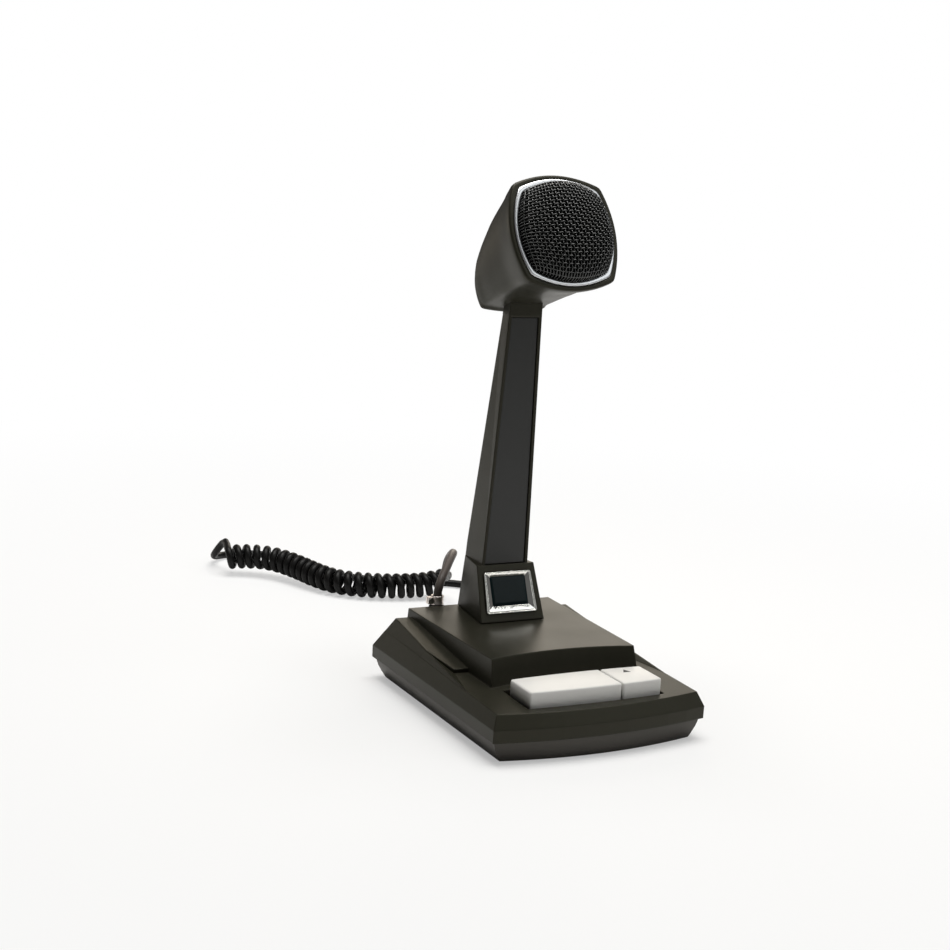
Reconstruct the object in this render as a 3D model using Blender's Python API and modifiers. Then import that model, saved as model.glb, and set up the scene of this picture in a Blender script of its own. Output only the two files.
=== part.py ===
# Desk microphone: a flat weighted base with a talk bar, a tapering stem, and a tilted square head.
# Metres, +Z up. The grille faces -Y, and the origin is the middle of the underside of the base.

import bpy
import bmesh
from math import sin, cos, pi, radians, atan2
from mathutils import Vector, Matrix

MM = 0.001

# Base: driving sizes. Depths are measured back from the front corners of the lip.
LIP_WIDTH = 108.0 * MM
LIP_DEPTH = 128.0 * MM
FRONT_BOW = 5.5 * MM
FOOT_PROUD = 1.0 * MM
LIP_BOTTOM_Z = 9.8 * MM
LIP_TOP_Z = 15.6 * MM
DECK_FRONT_Z = 21.7 * MM
DECK_RISE = 1.2 * MM
DECK_INSET = 3.6 * MM
SHOULDER_START_Z = 24.9 * MM
SHOULDER_BACK_Z = 31.4 * MM
SHOULDER_START_Y = 60.0 * MM
SHOULDER_KINK_Y = 78.0 * MM
SHOULDER_BACK_Y = 118.0 * MM
COVER_WALL = 2.2 * MM
SIDE_SLANT_SHARE = 0.43
FRONT_SLANT_SHARE = 0.5
BACK_SLANT_SHARE = 0.63
FRONT_STEPS = 10
GAP = 0.3 * MM
OVERRUN = 1.0 * MM
EDGE_R = 0.5 * MM

# Raised block that carries the stem
BLOCK_TOP_Z = 34.7 * MM
BLOCK_FRONT_WIDTH = 74.4 * MM
BLOCK_BACK_WIDTH = 77.6 * MM
BLOCK_FRONT_Y = 36.8 * MM
BLOCK_BACK_Y = 121.8 * MM
BLOCK_FLARE = 1.3 * MM
BLOCK_FRONT_SLOPE = 4.2 * MM
BLOCK_HOLLOW_BOW = 5.0 * MM

# Pan
PAN_INSET = 1.6 * MM
PAN_TAPER = 4.4 * MM
PAN_WALL = 2.0 * MM
PAN_CHAMFER_SHARE = 0.55
SCREW_INSET = 12.0 * MM
BOSS_R = 4.0 * MM
SCREW_R = 1.5 * MM
SCREW_HEAD_R = 2.9 * MM
SCREW_HEAD_H = 1.4 * MM
FOOT_R = 6.0 * MM
FOOT_INSET_X = 13.0 * MM
FOOT_INSET_Y = 27.0 * MM
FOOT_SOCKET = 0.8 * MM
FOOT_TAPER_SHARE = 0.86
LUG_REACH_SHARE = 2.2

# Talk bar and its lock
BAR_HALF = 33.8 * MM
BAR_SPLIT_X = 12.6 * MM
BAR_FRONT_Y = 6.2 * MM
BAR_BACK_Y = 25.2 * MM
BAR_BOW = 1.2 * MM
BAR_TOP_Z = 28.8 * MM
BAR_WALL = 1.8 * MM
BAR_SKIRT_Z = 19.0 * MM
WELL_CLEAR = 1.1 * MM
LOCK_TRAVEL = 3.0 * MM
LOCK_DEEP = 5.0 * MM
KEEL_HALF = 2.0 * MM
KEEL_LONG = 6.0 * MM
KEEL_DEEP = 1.5 * MM
HINGE_Y = 42.0 * MM
HINGE_Z = 15.6 * MM
HINGE_PIN_R = 1.25 * MM
HINGE_LENGTH = 56.0 * MM
ARM_WIDTH = 5.0 * MM
ARM_THICK = 5.2 * MM
ARM_X = 22.0 * MM

# Stem
STEM_FOOT_FRONT_Y = 86.9 * MM
STEM_FOOT_BACK_Y = 120.6 * MM
STEM_FOOT_FRONT_WIDTH = 34.0 * MM
STEM_FOOT_BACK_WIDTH = 26.0 * MM
BOX_TOP_Z = 60.4 * MM
BOX_TOP_FRONT_Y = 98.2 * MM
BOX_TOP_WIDTH = 30.8 * MM
STEM_FRONT_Y = 99.6 * MM
STEM_FRONT_TOP_Y = 94.6 * MM
STEM_BACK_TOP_Y = 103.0 * MM
STEM_LOW_WIDTH = 26.2 * MM
STEM_TOP_WIDTH = 17.2 * MM
STEM_TOP_Z = 183.0 * MM
STEM_BACK_NARROW = 1.2 * MM
STEM_WALL = 1.8 * MM
STEM_BEND_Z = 68.0 * MM
STEM_BEND_BACK_Y = 118.4 * MM
STEM_INTO_HEAD = 9.0 * MM
STEM_SCREW_X = 8.5 * MM
STEM_SCREW_Y = 94.5 * MM
STEM_SCREW_GRIP = 9.0 * MM
PANEL_INSET = 0.6 * MM
PANEL_THICK = 1.2 * MM
PANEL_BORDER = 1.5 * MM

# Badge plate on the box
BADGE_LOW = 4.4 * MM
BADGE_HIGH = 24.4 * MM
BADGE_LOW_WIDTH = 26.8 * MM
BADGE_TOP_WIDTH = 25.2 * MM
BADGE_RIM = 3.2 * MM
BADGE_THICK = 1.5 * MM
BADGE_SINK = 0.7 * MM
BADGE_CORNER_SHARE = 0.12
BADGE_BEVEL_SHARES = (0.33, 0.8)

# Head: the bulged square face is tilted back, and the body runs back along the face's axis.
HEAD_TILT = radians(25.2)
HEAD_FACE_Y = 64.0 * MM
HEAD_FACE_Z = 222.0 * MM
HEAD_CORNER = 22.3 * MM
HEAD_MID = 27.2 * MM
HEAD_LENGTH = 58.5 * MM
HEAD_WALL = 1.9 * MM
RIM_WIDTH = 2.3 * MM
RING_WIDTH = 2.1 * MM
RING_DEPTH = 2.4 * MM
RING_PROUD = 0.7 * MM
GRILLE_RISE = 7.5 * MM
GRILLE_CELLS = 15
FACE_STEPS = 8
GRILLE_WIRE = 1.05 * MM
GRILLE_WEAVE = 0.3 * MM
CAPSULE_R = 15.0 * MM
CAPSULE_H = 13.0 * MM
CAPSULE_HOLES = 6
BOOT_WALL = 2.4 * MM
FOAM_THICK = 3.0 * MM
FOAM_CELLS = 8
GRILLE_LEDGE = 1.2 * MM
CARRIER_BACK = 6.0 * MM
CARRIER_THICK = 2.2 * MM
STRAIGHT_BACK = 10.0 * MM
LEAD_R = 0.8 * MM
LEAD_Y = 99.7 * MM
DOME_POWER_SHARE = 0.62
# Sections from the face back: depth, half width, top and bottom edge, and bulge of the sides
SECTION_SHARES = (
    (0.0, 1.0, 1.0, 1.0, 1.0),
    (0.05, 0.995, 1.0, 1.0, 0.97),
    (0.3, 0.94, 0.96, 0.98, 0.72),
    (0.5, 0.89, 0.82, 0.96, 0.56),
    (0.66, 0.84, 0.62, 0.94, 0.46),
    (0.81, 0.79, 0.37, 0.91, 0.4),
    (0.92, 0.73, 0.14, 0.84, 0.34),
    (0.98, 0.64, -0.05, 0.72, 0.25),
    (1.0, 0.5, -0.18, 0.58, 0.15),
)

# Base insides, placed from the lip's sides and back and from the hinge
BATTERY_SIZE = (26.0 * MM, 47.0 * MM, 16.5 * MM)
BATTERY_FROM_SIDE = 22.0 * MM
BATTERY_BEHIND_HINGE = 11.0 * MM
POLE_RADII = (3.6 * MM, 2.9 * MM)
POLE_H = 2.4 * MM
POLE_SPREAD = 6.4 * MM
DOOR_MARGIN = 2.0 * MM
DOOR_TAB = 9.0 * MM
DOOR_LEDGE = 1.0 * MM
BOARD_THICK = 1.6 * MM
BOARD_UNDER_Z = 10.3 * MM
BOARD_PAST_BATTERY = 8.0 * MM
BOARD_FROM_SIDE = 17.0 * MM
BOARD_FROM_BACK = 22.0 * MM
BOARD_BEHIND_HINGE = 1.0 * MM
# Round components: place across and along the board as shares of it, radius and height
CAN_SPOT_SHARES = ((0.29, 0.21), (0.69, 0.21), (0.34, 0.78))
CAN_SIZES = ((3.2 * MM, 7.0 * MM), (2.6 * MM, 6.0 * MM), (2.4 * MM, 4.6 * MM))
CHIP_SHARES = ((0.51, 0.8), (0.49, 0.65))
CHIP_H = 4.0 * MM
GAIN_SPOT_SHARES = (0.51, 0.08)
LEAD_SPOT_SHARES = (0.12, 0.93)
LEAD_TURN_SHARE = 0.3
GAIN_R = 3.2 * MM
GAIN_SLOT = 0.8 * MM
BALLAST_THICK = 4.5 * MM
BALLAST_PAST_BATTERY = 4.0 * MM
BALLAST_FROM_SIDE = 16.0 * MM
BALLAST_FROM_BACK = 20.0 * MM
BALLAST_BEHIND_GAIN = 10.0 * MM
RIB_THICK = 4.0 * MM
SWITCH_SIZE = (19.8 * MM, 10.2 * MM, 6.4 * MM)
SWITCH_STEM_R = 1.3 * MM
PRESS_ANGLE = radians(4.8)
PRESSER_Z = 17.6 * MM
SPRING_R = 2.6 * MM
SPRING_WIRE = 0.4 * MM
SPRING_TURNS = 5
SPRING_X = -24.0 * MM
SPRING_Y = 14.5 * MM
SPRING_SEAT_Z = 8.0 * MM
SPRING_TOP_Z = 18.4 * MM

# Cord
CORD_R = 2.1 * MM
CLAMP_X = -21.7 * MM
CLAMP_Y = 125.6 * MM
CLAMP_TOP_Z = 39.0 * MM
CLAMP_H = 4.6 * MM
CLAMP_WALL = 0.8 * MM
CLAMP_EAR = 4.4 * MM
EAR_HALF = 1.3 * MM
BUSH_R = 4.2 * MM
BUSH_FLOOR_Z = 27.0 * MM
SHELF_R = 5.4 * MM
COIL_MEAN_R = 5.1 * MM
COIL_CLEAR = 0.9 * MM
COIL_PITCH = 5.0 * MM
CURL_POINTS = 9
BEND_POINTS = 16
CORD_STEP_SHARE = 2.4
CORD_STRAIGHT_SHARE = 5
PLUG_R = 9.0 * MM
PLUG_L = 40.0 * MM
# The plug's shell and ring, as shares of its length and of its ring's radius
SHELL_LONG_SHARE = 0.62
SHELL_BACK_SHARE = 0.55
SHELL_FRONT_SHARE = 0.84
SHELL_BORE_SHARE = 0.62
SHELL_SOLID_SHARE = 0.4
RING_OVER_SHARE = 0.3
SOCKET_START_SHARE = 0.5
SOCKET_REACH_SHARE = 0.4
PIN_COUNT = 4
PIN_R_SHARE = 0.09
PIN_CIRCLE_SHARE = 0.32

BASE_BACK = max(LIP_DEPTH, CLAMP_Y + SHELF_R)
Y_SHIFT = FRONT_BOW - (BASE_BACK + FRONT_BOW) / 2


def Y(depth):
    """World y of a place that lies depth behind the front corners of the lip."""
    return depth + Y_SHIFT


# Scene and materials

for thing in list(bpy.data.objects):
    bpy.data.objects.remove(thing)
part = bpy.data.collections.new("desk_microphone")
cutters = bpy.data.collections.new("cutters")
for group in (part, cutters):
    bpy.context.scene.collection.children.link(group)


def material(name, colour, roughness, metallic=0.0):
    mat = bpy.data.materials.new(name)
    mat.use_nodes = True
    shader = mat.node_tree.nodes["Principled BSDF"]
    shader.inputs["Base Color"].default_value = (*colour, 1.0)
    shader.inputs["Roughness"].default_value = roughness
    shader.inputs["Metallic"].default_value = metallic
    return mat


OLIVE = material("olive_black_plastic", (0.030, 0.027, 0.021), 0.45)
SMOOTH_BLACK = material("smooth_black_plastic", (0.012, 0.013, 0.012), 0.3)
WHITE = material("white_plastic", (0.78, 0.77, 0.76), 0.35)
SILVER = material("silver_trim", (0.62, 0.64, 0.66), 0.3, 0.6)
CHROME = material("chrome", (0.85, 0.85, 0.84), 0.07, 1.0)
BADGE_BLUE = material("badge_face", (0.004, 0.012, 0.016), 0.08)
MESH_BLACK = material("black_wire", (0.015, 0.015, 0.016), 0.4, 0.5)
STEEL = material("zinc_steel", (0.5, 0.5, 0.48), 0.35, 1.0)
RUBBER = material("black_rubber", (0.014, 0.014, 0.014), 0.7)
FOAM = material("dark_foam", (0.02, 0.02, 0.022), 0.95)
BOARD_GREEN = material("circuit_board", (0.03, 0.14, 0.05), 0.5)
BRASS = material("brass", (0.65, 0.45, 0.16), 0.3, 1.0)
CORD_BLACK = material("cord_jacket", (0.016, 0.017, 0.019), 0.35)
BATTERY_CASE = material("battery_case", (0.05, 0.06, 0.16), 0.35, 0.3)
COPPER = material("lead_insulation", (0.35, 0.03, 0.02), 0.5)


# Modelling helpers

def add(name, bm, mat, origin=(0, 0, 0), where=part):
    """A new object from a bmesh in world coordinates, with its origin at the given point."""
    bmesh.ops.remove_doubles(bm, verts=bm.verts, dist=1e-6)
    bmesh.ops.recalc_face_normals(bm, faces=bm.faces)
    mesh = bpy.data.meshes.new(name)
    place = Matrix.Translation(Vector(origin))
    bm.transform(place.inverted())
    bm.to_mesh(mesh)
    bm.free()
    mesh.shade_smooth()
    mesh.set_sharp_from_angle(angle=radians(35))
    obj = bpy.data.objects.new(name, mesh)
    obj.location = origin
    if mat:
        mesh.materials.append(mat)
    where.objects.link(obj)
    if where is cutters:
        obj.hide_render = True
        obj.display_type = "WIRE"
    return obj


def boolean(obj, bm, how="DIFFERENCE"):
    """Cut a bmesh shape from an object, or join it on."""
    tool = add(obj.name + "_tool", bm, None, where=cutters)
    mod = obj.modifiers.new("join" if how == "UNION" else "cut", "BOOLEAN")
    mod.operation = how
    mod.object = tool
    mod.solver = "EXACT"
    return obj


def settle(obj):
    """Apply the modifiers made so far, so that a later bevel or cut starts from a plain mesh."""
    graph = bpy.context.evaluated_depsgraph_get()
    mesh = bpy.data.meshes.new_from_object(obj.evaluated_get(graph))
    for mod in list(obj.modifiers):
        if mod.type == "BOOLEAN" and mod.object:
            bpy.data.objects.remove(mod.object)
    obj.modifiers.clear()
    old = obj.data
    obj.data = mesh
    mesh.name = obj.name
    bpy.data.meshes.remove(old)
    return obj


def soften(obj, width, segments=2, angle=30):
    mod = obj.modifiers.new("soften", "BEVEL")
    mod.width = width
    mod.segments = segments
    mod.limit_method = "ANGLE"
    mod.angle_limit = radians(angle)
    mod.use_clamp_overlap = True
    return obj


def loft(rings, bm=None):
    """A closed solid through rings of equal length, with a cap on each end."""
    bm = bm or bmesh.new()
    rows = [[bm.verts.new(p) for p in ring] for ring in rings]
    count = len(rows[0])
    for low, high in zip(rows, rows[1:]):
        for i in range(count):
            j = (i + 1) % count
            bm.faces.new((low[i], low[j], high[j], high[i]))
    bm.faces.new(rows[0][::-1])
    bm.faces.new(rows[-1])
    return bm


def box(x0, x1, y0, y1, z0, z1):
    bm = bmesh.new()
    bmesh.ops.create_cube(bm, size=1.0)
    size = Vector((x1 - x0, y1 - y0, z1 - z0))
    middle = Vector((x0 + x1, y0 + y1, z0 + z1)) / 2
    bm.transform(Matrix.Translation(middle) @ Matrix.Diagonal((*size, 1.0)))
    return bm


def cylinder(centre, radius, z0, z1, sides=24, top_radius=None):
    bm = bmesh.new()
    top = radius if top_radius is None else top_radius
    bmesh.ops.create_cone(bm, cap_ends=True, segments=sides, radius1=radius, radius2=top, depth=z1 - z0)
    bm.transform(Matrix.Translation((centre[0], centre[1], (z0 + z1) / 2)))
    return bm


def turned(name, profile, mat, place, sides=32):
    """A turned solid: the profile is (radius, height) down its outer side, closed on the axis."""
    mesh = bpy.data.meshes.new(name)
    bm = bmesh.new()
    line = [bm.verts.new((r, 0, z)) for r, z in profile]
    for a, b in zip(line, line[1:]):
        bm.edges.new((a, b))
    if profile[0][0] > 0:
        bm.edges.new((line[-1], line[0]))
    bm.to_mesh(mesh)
    bm.free()
    obj = bpy.data.objects.new(name, mesh)
    part.objects.link(obj)
    mesh.materials.append(mat)
    obj.matrix_world = place
    mod = obj.modifiers.new("turn", "SCREW")
    mod.steps = mod.render_steps = sides
    mod.use_merge_vertices = True
    mod.merge_threshold = 1e-6
    mod.use_normal_calculate = True
    mod.use_smooth_shade = False
    return obj


def tube(name, points, radius, mat, resolution=2, where=part):
    """A round tube with filled caps along a poly line, as a closed mesh."""
    curve = bpy.data.curves.new(name, "CURVE")
    curve.dimensions = "3D"
    curve.bevel_depth = radius
    curve.bevel_resolution = resolution
    curve.use_fill_caps = True
    curve.twist_mode = "MINIMUM"
    spline = curve.splines.new("POLY")
    spline.points.add(len(points) - 1)
    for point, p in zip(spline.points, points):
        point.co = (*p, 1.0)
    guide = bpy.data.objects.new(name + "_line", curve)
    bpy.context.scene.collection.objects.link(guide)
    graph = bpy.context.evaluated_depsgraph_get()
    mesh = bpy.data.meshes.new_from_object(guide.evaluated_get(graph))
    bm = bmesh.new()
    bm.from_mesh(mesh)
    bpy.data.objects.remove(guide)
    bpy.data.meshes.remove(mesh)
    return add(name, bm, mat, where=where)


def oriented(at, direction):
    """A placement whose +Z runs along the given direction."""
    turn = Vector((0, 0, 1)).rotation_difference(Vector(direction).normalized())
    return Matrix.Translation(Vector(at)) @ turn.to_matrix().to_4x4()


# Base cover

LIP_HALF = LIP_WIDTH / 2
TOP_RAW_Z = BLOCK_TOP_Z + OVERRUN
SHOULDER_HALF = LIP_HALF - (SHOULDER_BACK_Z - LIP_TOP_Z) * SIDE_SLANT_SHARE


def bowed_outline(half, front, back, bow, z, back_bow=0.0, back_half=None, back_z=None):
    """A plan outline with a bowed front edge, and a bowed back edge where one is given."""
    back_half = half if back_half is None else back_half
    back_z = z if back_z is None else back_z
    ring = []
    for i in range(FRONT_STEPS + 1):
        u = 2 * i / FRONT_STEPS - 1
        ring.append((half * u, Y(front - bow * (1 - u * u)), z))
    for i in range(FRONT_STEPS + 1):
        u = 1 - 2 * i / FRONT_STEPS
        ring.append((back_half * u, Y(back + back_bow * (1 - u * u)), back_z))
    return ring


def slanted_ring(z, wall=0.0):
    """The cover's outline at a height above the lip, drawn in by the slant of its walls."""
    rise = max(z - LIP_TOP_Z, 0.0)
    half = LIP_HALF - wall - rise * SIDE_SLANT_SHARE
    front = wall + rise * FRONT_SLANT_SHARE
    back = LIP_DEPTH - wall - rise * BACK_SLANT_SHARE
    return bowed_outline(half, front, back, FRONT_BOW, z)


def cut_away(bm, point, normal):
    """Take off what lies beyond a plane, and close the cut."""
    geom = bm.verts[:] + bm.edges[:] + bm.faces[:]
    cut = bmesh.ops.bisect_plane(bm, geom=geom, plane_co=point, plane_no=normal, clear_outer=True)
    edges = [e for e in cut["geom_cut"] if isinstance(e, bmesh.types.BMEdge)]
    bmesh.ops.contextual_create(bm, geom=edges)
    return bm


def cover_blank(inset=0.0):
    low_z = LIP_BOTTOM_Z + inset
    return loft([slanted_ring(low_z, inset), slanted_ring(LIP_TOP_Z, inset), slanted_ring(TOP_RAW_Z, inset)])


def block_loft():
    low_z = DECK_FRONT_Z - COVER_WALL
    wide = BLOCK_FRONT_WIDTH / 2
    wide_back = BLOCK_BACK_WIDTH / 2
    low = bowed_outline(wide + BLOCK_FLARE, BLOCK_FRONT_Y - BLOCK_FRONT_SLOPE, BLOCK_BACK_Y,
                        -BLOCK_HOLLOW_BOW, low_z, back_half=wide_back + BLOCK_FLARE)
    high = bowed_outline(wide, BLOCK_FRONT_Y, BLOCK_BACK_Y, -BLOCK_HOLLOW_BOW, BLOCK_TOP_Z,
                         back_half=wide_back)
    return loft([low, high])


BOSS_X = LIP_HALF - SCREW_INSET + OVERRUN
BOSS_YS = (SCREW_INSET + OVERRUN * 2, LIP_DEPTH - SCREW_INSET - OVERRUN * 4)
BOSS_SPOTS = [(side * BOSS_X, Y(depth)) for depth in BOSS_YS for side in (-1, 1)]
BOSS_JOIN_Z = LIP_BOTTOM_Z + COVER_WALL
CAVITY_TOP_Z = DECK_FRONT_Z - COVER_WALL
BLOCK_CAVITY_HALF = BLOCK_FRONT_WIDTH / 2 - COVER_WALL
BLOCK_CAVITY = (HINGE_Y + ARM_THICK, BLOCK_BACK_Y - COVER_WALL - OVERRUN)
LUG_X = HINGE_LENGTH / 2 - ARM_WIDTH / 4
LUG_HALF = ARM_WIDTH / 4
LUG_REACH = HINGE_PIN_R * LUG_REACH_SHARE
STEM_BORE_HALF = STEM_TOP_WIDTH / 2 - STEM_WALL
STEM_BORE_Y = ((STEM_FRONT_Y + STEM_FOOT_BACK_Y) / 2 - STEM_BORE_HALF,
               (STEM_FRONT_Y + STEM_FOOT_BACK_Y) / 2 + STEM_BORE_HALF)


def make_cover():
    """The upper housing: deck, raised shoulders, stem block, talk-bar well and screw bosses."""
    deck = cut_away(cover_blank(), (0, Y(0), DECK_FRONT_Z), (0, -DECK_RISE, SHOULDER_START_Y))
    cover = add("base_cover", deck, OLIVE)
    shoulder = cover_blank(GAP / 4)
    rise = SHOULDER_BACK_Z - SHOULDER_START_Z
    run = SHOULDER_BACK_Y - SHOULDER_START_Y
    cut_away(shoulder, (0, Y(SHOULDER_START_Y), SHOULDER_START_Z), (0, -rise, run))
    cut_away(shoulder, (0, Y(SHOULDER_START_Y), 0), (0, -1, 0))
    lead = SHOULDER_KINK_Y - SHOULDER_START_Y
    step = SHOULDER_HALF - BLOCK_FRONT_WIDTH / 2 - BLOCK_FLARE
    for side in (-1, 1):
        cut_away(shoulder, (side * (SHOULDER_HALF + BLOCK_FLARE), Y(SHOULDER_KINK_Y), 0),
                 (side * lead, -step, 0))
    boolean(cover, block_loft(), "UNION")
    settle(cover)
    boolean(cover, shoulder, "UNION")
    shelf = cylinder((CLAMP_X, Y(CLAMP_Y)), SHELF_R, LIP_TOP_Z, BUSH_FLOOR_Z + COVER_WALL)
    boolean(cover, shelf, "UNION")
    settle(cover)

    boolean(cover, loft([slanted_ring(LIP_BOTTOM_Z - OVERRUN, COVER_WALL),
                         slanted_ring(LIP_TOP_Z, COVER_WALL),
                         slanted_ring(CAVITY_TOP_Z, COVER_WALL)]))
    boolean(cover, box(-BLOCK_CAVITY_HALF, BLOCK_CAVITY_HALF, Y(BLOCK_CAVITY[0]), Y(BLOCK_CAVITY[1]),
                       LIP_TOP_Z, BLOCK_TOP_Z - COVER_WALL))
    for x, y in BOSS_SPOTS:
        boolean(cover, cylinder((x, y), BOSS_R, BOSS_JOIN_Z, CAVITY_TOP_Z + OVERRUN, sides=16), "UNION")
    for side in (-1, 1):
        lug = box(side * LUG_X - LUG_HALF, side * LUG_X + LUG_HALF, Y(HINGE_Y - LUG_REACH),
                  Y(HINGE_Y + LUG_REACH), HINGE_Z - LUG_REACH, CAVITY_TOP_Z + OVERRUN)
        boolean(cover, lug, "UNION")
    settle(cover)

    well_half = BAR_HALF + WELL_CLEAR
    well = [bowed_outline(well_half, BAR_FRONT_Y - WELL_CLEAR, BAR_BACK_Y + LOCK_TRAVEL + WELL_CLEAR,
                          BAR_BOW, z, back_bow=BAR_BOW) for z in (LIP_TOP_Z, BAR_TOP_Z)]
    boolean(cover, loft(well))
    boolean(cover, box(-STEM_BORE_HALF, STEM_BORE_HALF, Y(STEM_BORE_Y[0]), Y(STEM_BORE_Y[1]),
                       BLOCK_TOP_Z - COVER_WALL - OVERRUN, BLOCK_TOP_Z + OVERRUN))
    for x, y in BOSS_SPOTS:
        boolean(cover, cylinder((x, y), SCREW_R + GAP, BOSS_JOIN_Z - OVERRUN, CAVITY_TOP_Z, sides=12))
    reach = HINGE_LENGTH / 2 + GAP
    bore = cylinder((0, 0), HINGE_PIN_R + GAP, -reach, reach, sides=16)
    bore.transform(Matrix.Translation((0, Y(HINGE_Y), HINGE_Z)) @ Matrix.Rotation(pi / 2, 4, "Y"))
    boolean(cover, bore)
    boolean(cover, cylinder((CLAMP_X, Y(CLAMP_Y)), BUSH_R + GAP, BUSH_FLOOR_Z, TOP_RAW_Z, sides=20))
    boolean(cover, cylinder((CLAMP_X, Y(CLAMP_Y)), CORD_R + GAP, LIP_TOP_Z - OVERRUN, TOP_RAW_Z, sides=16))
    return settle(cover)


COVER = make_cover()


# Pan, its screws and feet

PAN_BOTTOM_Z = FOOT_PROUD
PAN_TOP_Z = LIP_BOTTOM_Z - GAP
PAN_FLOOR_Z = PAN_BOTTOM_Z + PAN_WALL
PAN_POST_Z = BOSS_JOIN_Z - GAP
FOOT_SPOTS = [(side * (LIP_HALF - FOOT_INSET_X), Y(depth))
              for depth in (FOOT_INSET_Y, LIP_DEPTH - FOOT_INSET_Y) for side in (-1, 1)]
BATTERY_X = (BATTERY_FROM_SIDE - LIP_HALF, BATTERY_FROM_SIDE - LIP_HALF + BATTERY_SIZE[0])
BATTERY_Y = (HINGE_Y + BATTERY_BEHIND_HINGE, HINGE_Y + BATTERY_BEHIND_HINGE + BATTERY_SIZE[1])
DOOR_SCREW = (sum(BATTERY_X) / 2, Y(BATTERY_Y[1] + (DOOR_TAB + DOOR_MARGIN) / 2))
BOARD_X = (BATTERY_X[1] + BOARD_PAST_BATTERY, LIP_HALF - BOARD_FROM_SIDE)
BOARD_Y = (HINGE_Y + BOARD_BEHIND_HINGE, LIP_DEPTH - BOARD_FROM_BACK)
SPRING_SPOT = (SPRING_X, Y(SPRING_Y))


def on_board(across_share, along_share):
    """A place on the board, as shares of its width and length."""
    return (BOARD_X[0] + (BOARD_X[1] - BOARD_X[0]) * across_share,
            Y(BOARD_Y[0] + (BOARD_Y[1] - BOARD_Y[0]) * along_share))


GAIN_SPOT = on_board(*GAIN_SPOT_SHARES)


def pan_ring(z, half_in):
    return bowed_outline(LIP_HALF - half_in, half_in, LIP_DEPTH - half_in, FRONT_BOW, z)


def make_pan():
    """The lower tray: tapered walls, a chamfered foot edge, screw posts and the battery opening."""
    turn_z = PAN_BOTTOM_Z + (PAN_TOP_Z - PAN_BOTTOM_Z) * PAN_CHAMFER_SHARE
    turn_in = PAN_INSET + PAN_TAPER * (1 - PAN_CHAMFER_SHARE) * PAN_CHAMFER_SHARE
    pan = add("base_pan", loft([pan_ring(PAN_BOTTOM_Z, PAN_INSET + PAN_TAPER),
                                pan_ring(turn_z, turn_in), pan_ring(PAN_TOP_Z, PAN_INSET)]), OLIVE)
    inner = PAN_INSET + PAN_TAPER + PAN_WALL
    boolean(pan, loft([pan_ring(PAN_FLOOR_Z, inner), pan_ring(PAN_TOP_Z + OVERRUN, inner)]))
    for x, y in BOSS_SPOTS:
        boolean(pan, cylinder((x, y), BOSS_R, PAN_FLOOR_Z - OVERRUN, PAN_POST_Z, sides=16), "UNION")
    boolean(pan, cylinder(SPRING_SPOT, SPRING_R + COVER_WALL, PAN_FLOOR_Z - OVERRUN, SPRING_SEAT_Z,
                          sides=16), "UNION")
    settle(pan)
    for x, y in BOSS_SPOTS:
        boolean(pan, cylinder((x, y), SCREW_R + GAP, PAN_BOTTOM_Z - OVERRUN, PAN_POST_Z + OVERRUN, sides=12))
        boolean(pan, cylinder((x, y), SCREW_HEAD_R + GAP, PAN_BOTTOM_Z - OVERRUN,
                              PAN_BOTTOM_Z + SCREW_HEAD_H + GAP, sides=16))
    for x, y in FOOT_SPOTS:
        boolean(pan, cylinder((x, y), FOOT_R + GAP, PAN_BOTTOM_Z - OVERRUN, PAN_BOTTOM_Z + FOOT_SOCKET,
                              sides=24))
    door = (BATTERY_X[0] - DOOR_MARGIN, BATTERY_X[1] + DOOR_MARGIN,
            Y(BATTERY_Y[0] - DOOR_MARGIN), Y(BATTERY_Y[1] + DOOR_MARGIN + DOOR_TAB))
    boolean(pan, box(*door, PAN_BOTTOM_Z - OVERRUN, PAN_BOTTOM_Z + DOOR_LEDGE + GAP))
    boolean(pan, box(BATTERY_X[0] - GAP, BATTERY_X[1] + GAP, Y(BATTERY_Y[0]) - GAP,
                     Y(BATTERY_Y[1]) + GAP, PAN_BOTTOM_Z, PAN_FLOOR_Z + OVERRUN))
    boolean(pan, cylinder(DOOR_SCREW, SCREW_R / 2 + GAP, PAN_BOTTOM_Z, PAN_FLOOR_Z + OVERRUN, sides=12))
    boolean(pan, cylinder(GAIN_SPOT, GAIN_R + GAP, PAN_BOTTOM_Z - OVERRUN, PAN_FLOOR_Z + OVERRUN, sides=24))
    settle(pan)
    return pan


PAN = make_pan()


def countersunk(name, at, head_r, head_h, shank_r, length, mat=STEEL):
    """A pan-head screw standing on its head, with a slot across it."""
    profile = [(0, length), (shank_r, length), (shank_r, head_h), (head_r, head_h),
               (head_r, head_h / 3), (head_r * 0.8, 0), (0, 0)]
    screw = turned(name, profile, mat, Matrix.Translation(Vector(at)), sides=12)
    slot = box(at[0] - head_r, at[0] + head_r, at[1] - head_h / 4, at[1] + head_h / 4,
               at[2] - OVERRUN, at[2] + head_h / 3)
    return boolean(screw, slot)


for number, (x, y) in enumerate(BOSS_SPOTS, 1):
    length = CAVITY_TOP_Z - PAN_BOTTOM_Z - OVERRUN
    countersunk(f"case_screw_{number}", (x, y, PAN_BOTTOM_Z), SCREW_HEAD_R, SCREW_HEAD_H, SCREW_R, length)
for number, (x, y) in enumerate(FOOT_SPOTS, 1):
    foot = cylinder((x, y), FOOT_R * FOOT_TAPER_SHARE, 0, FOOT_PROUD + FOOT_SOCKET - GAP, top_radius=FOOT_R)
    add(f"foot_{number}", foot, RUBBER)

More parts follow.
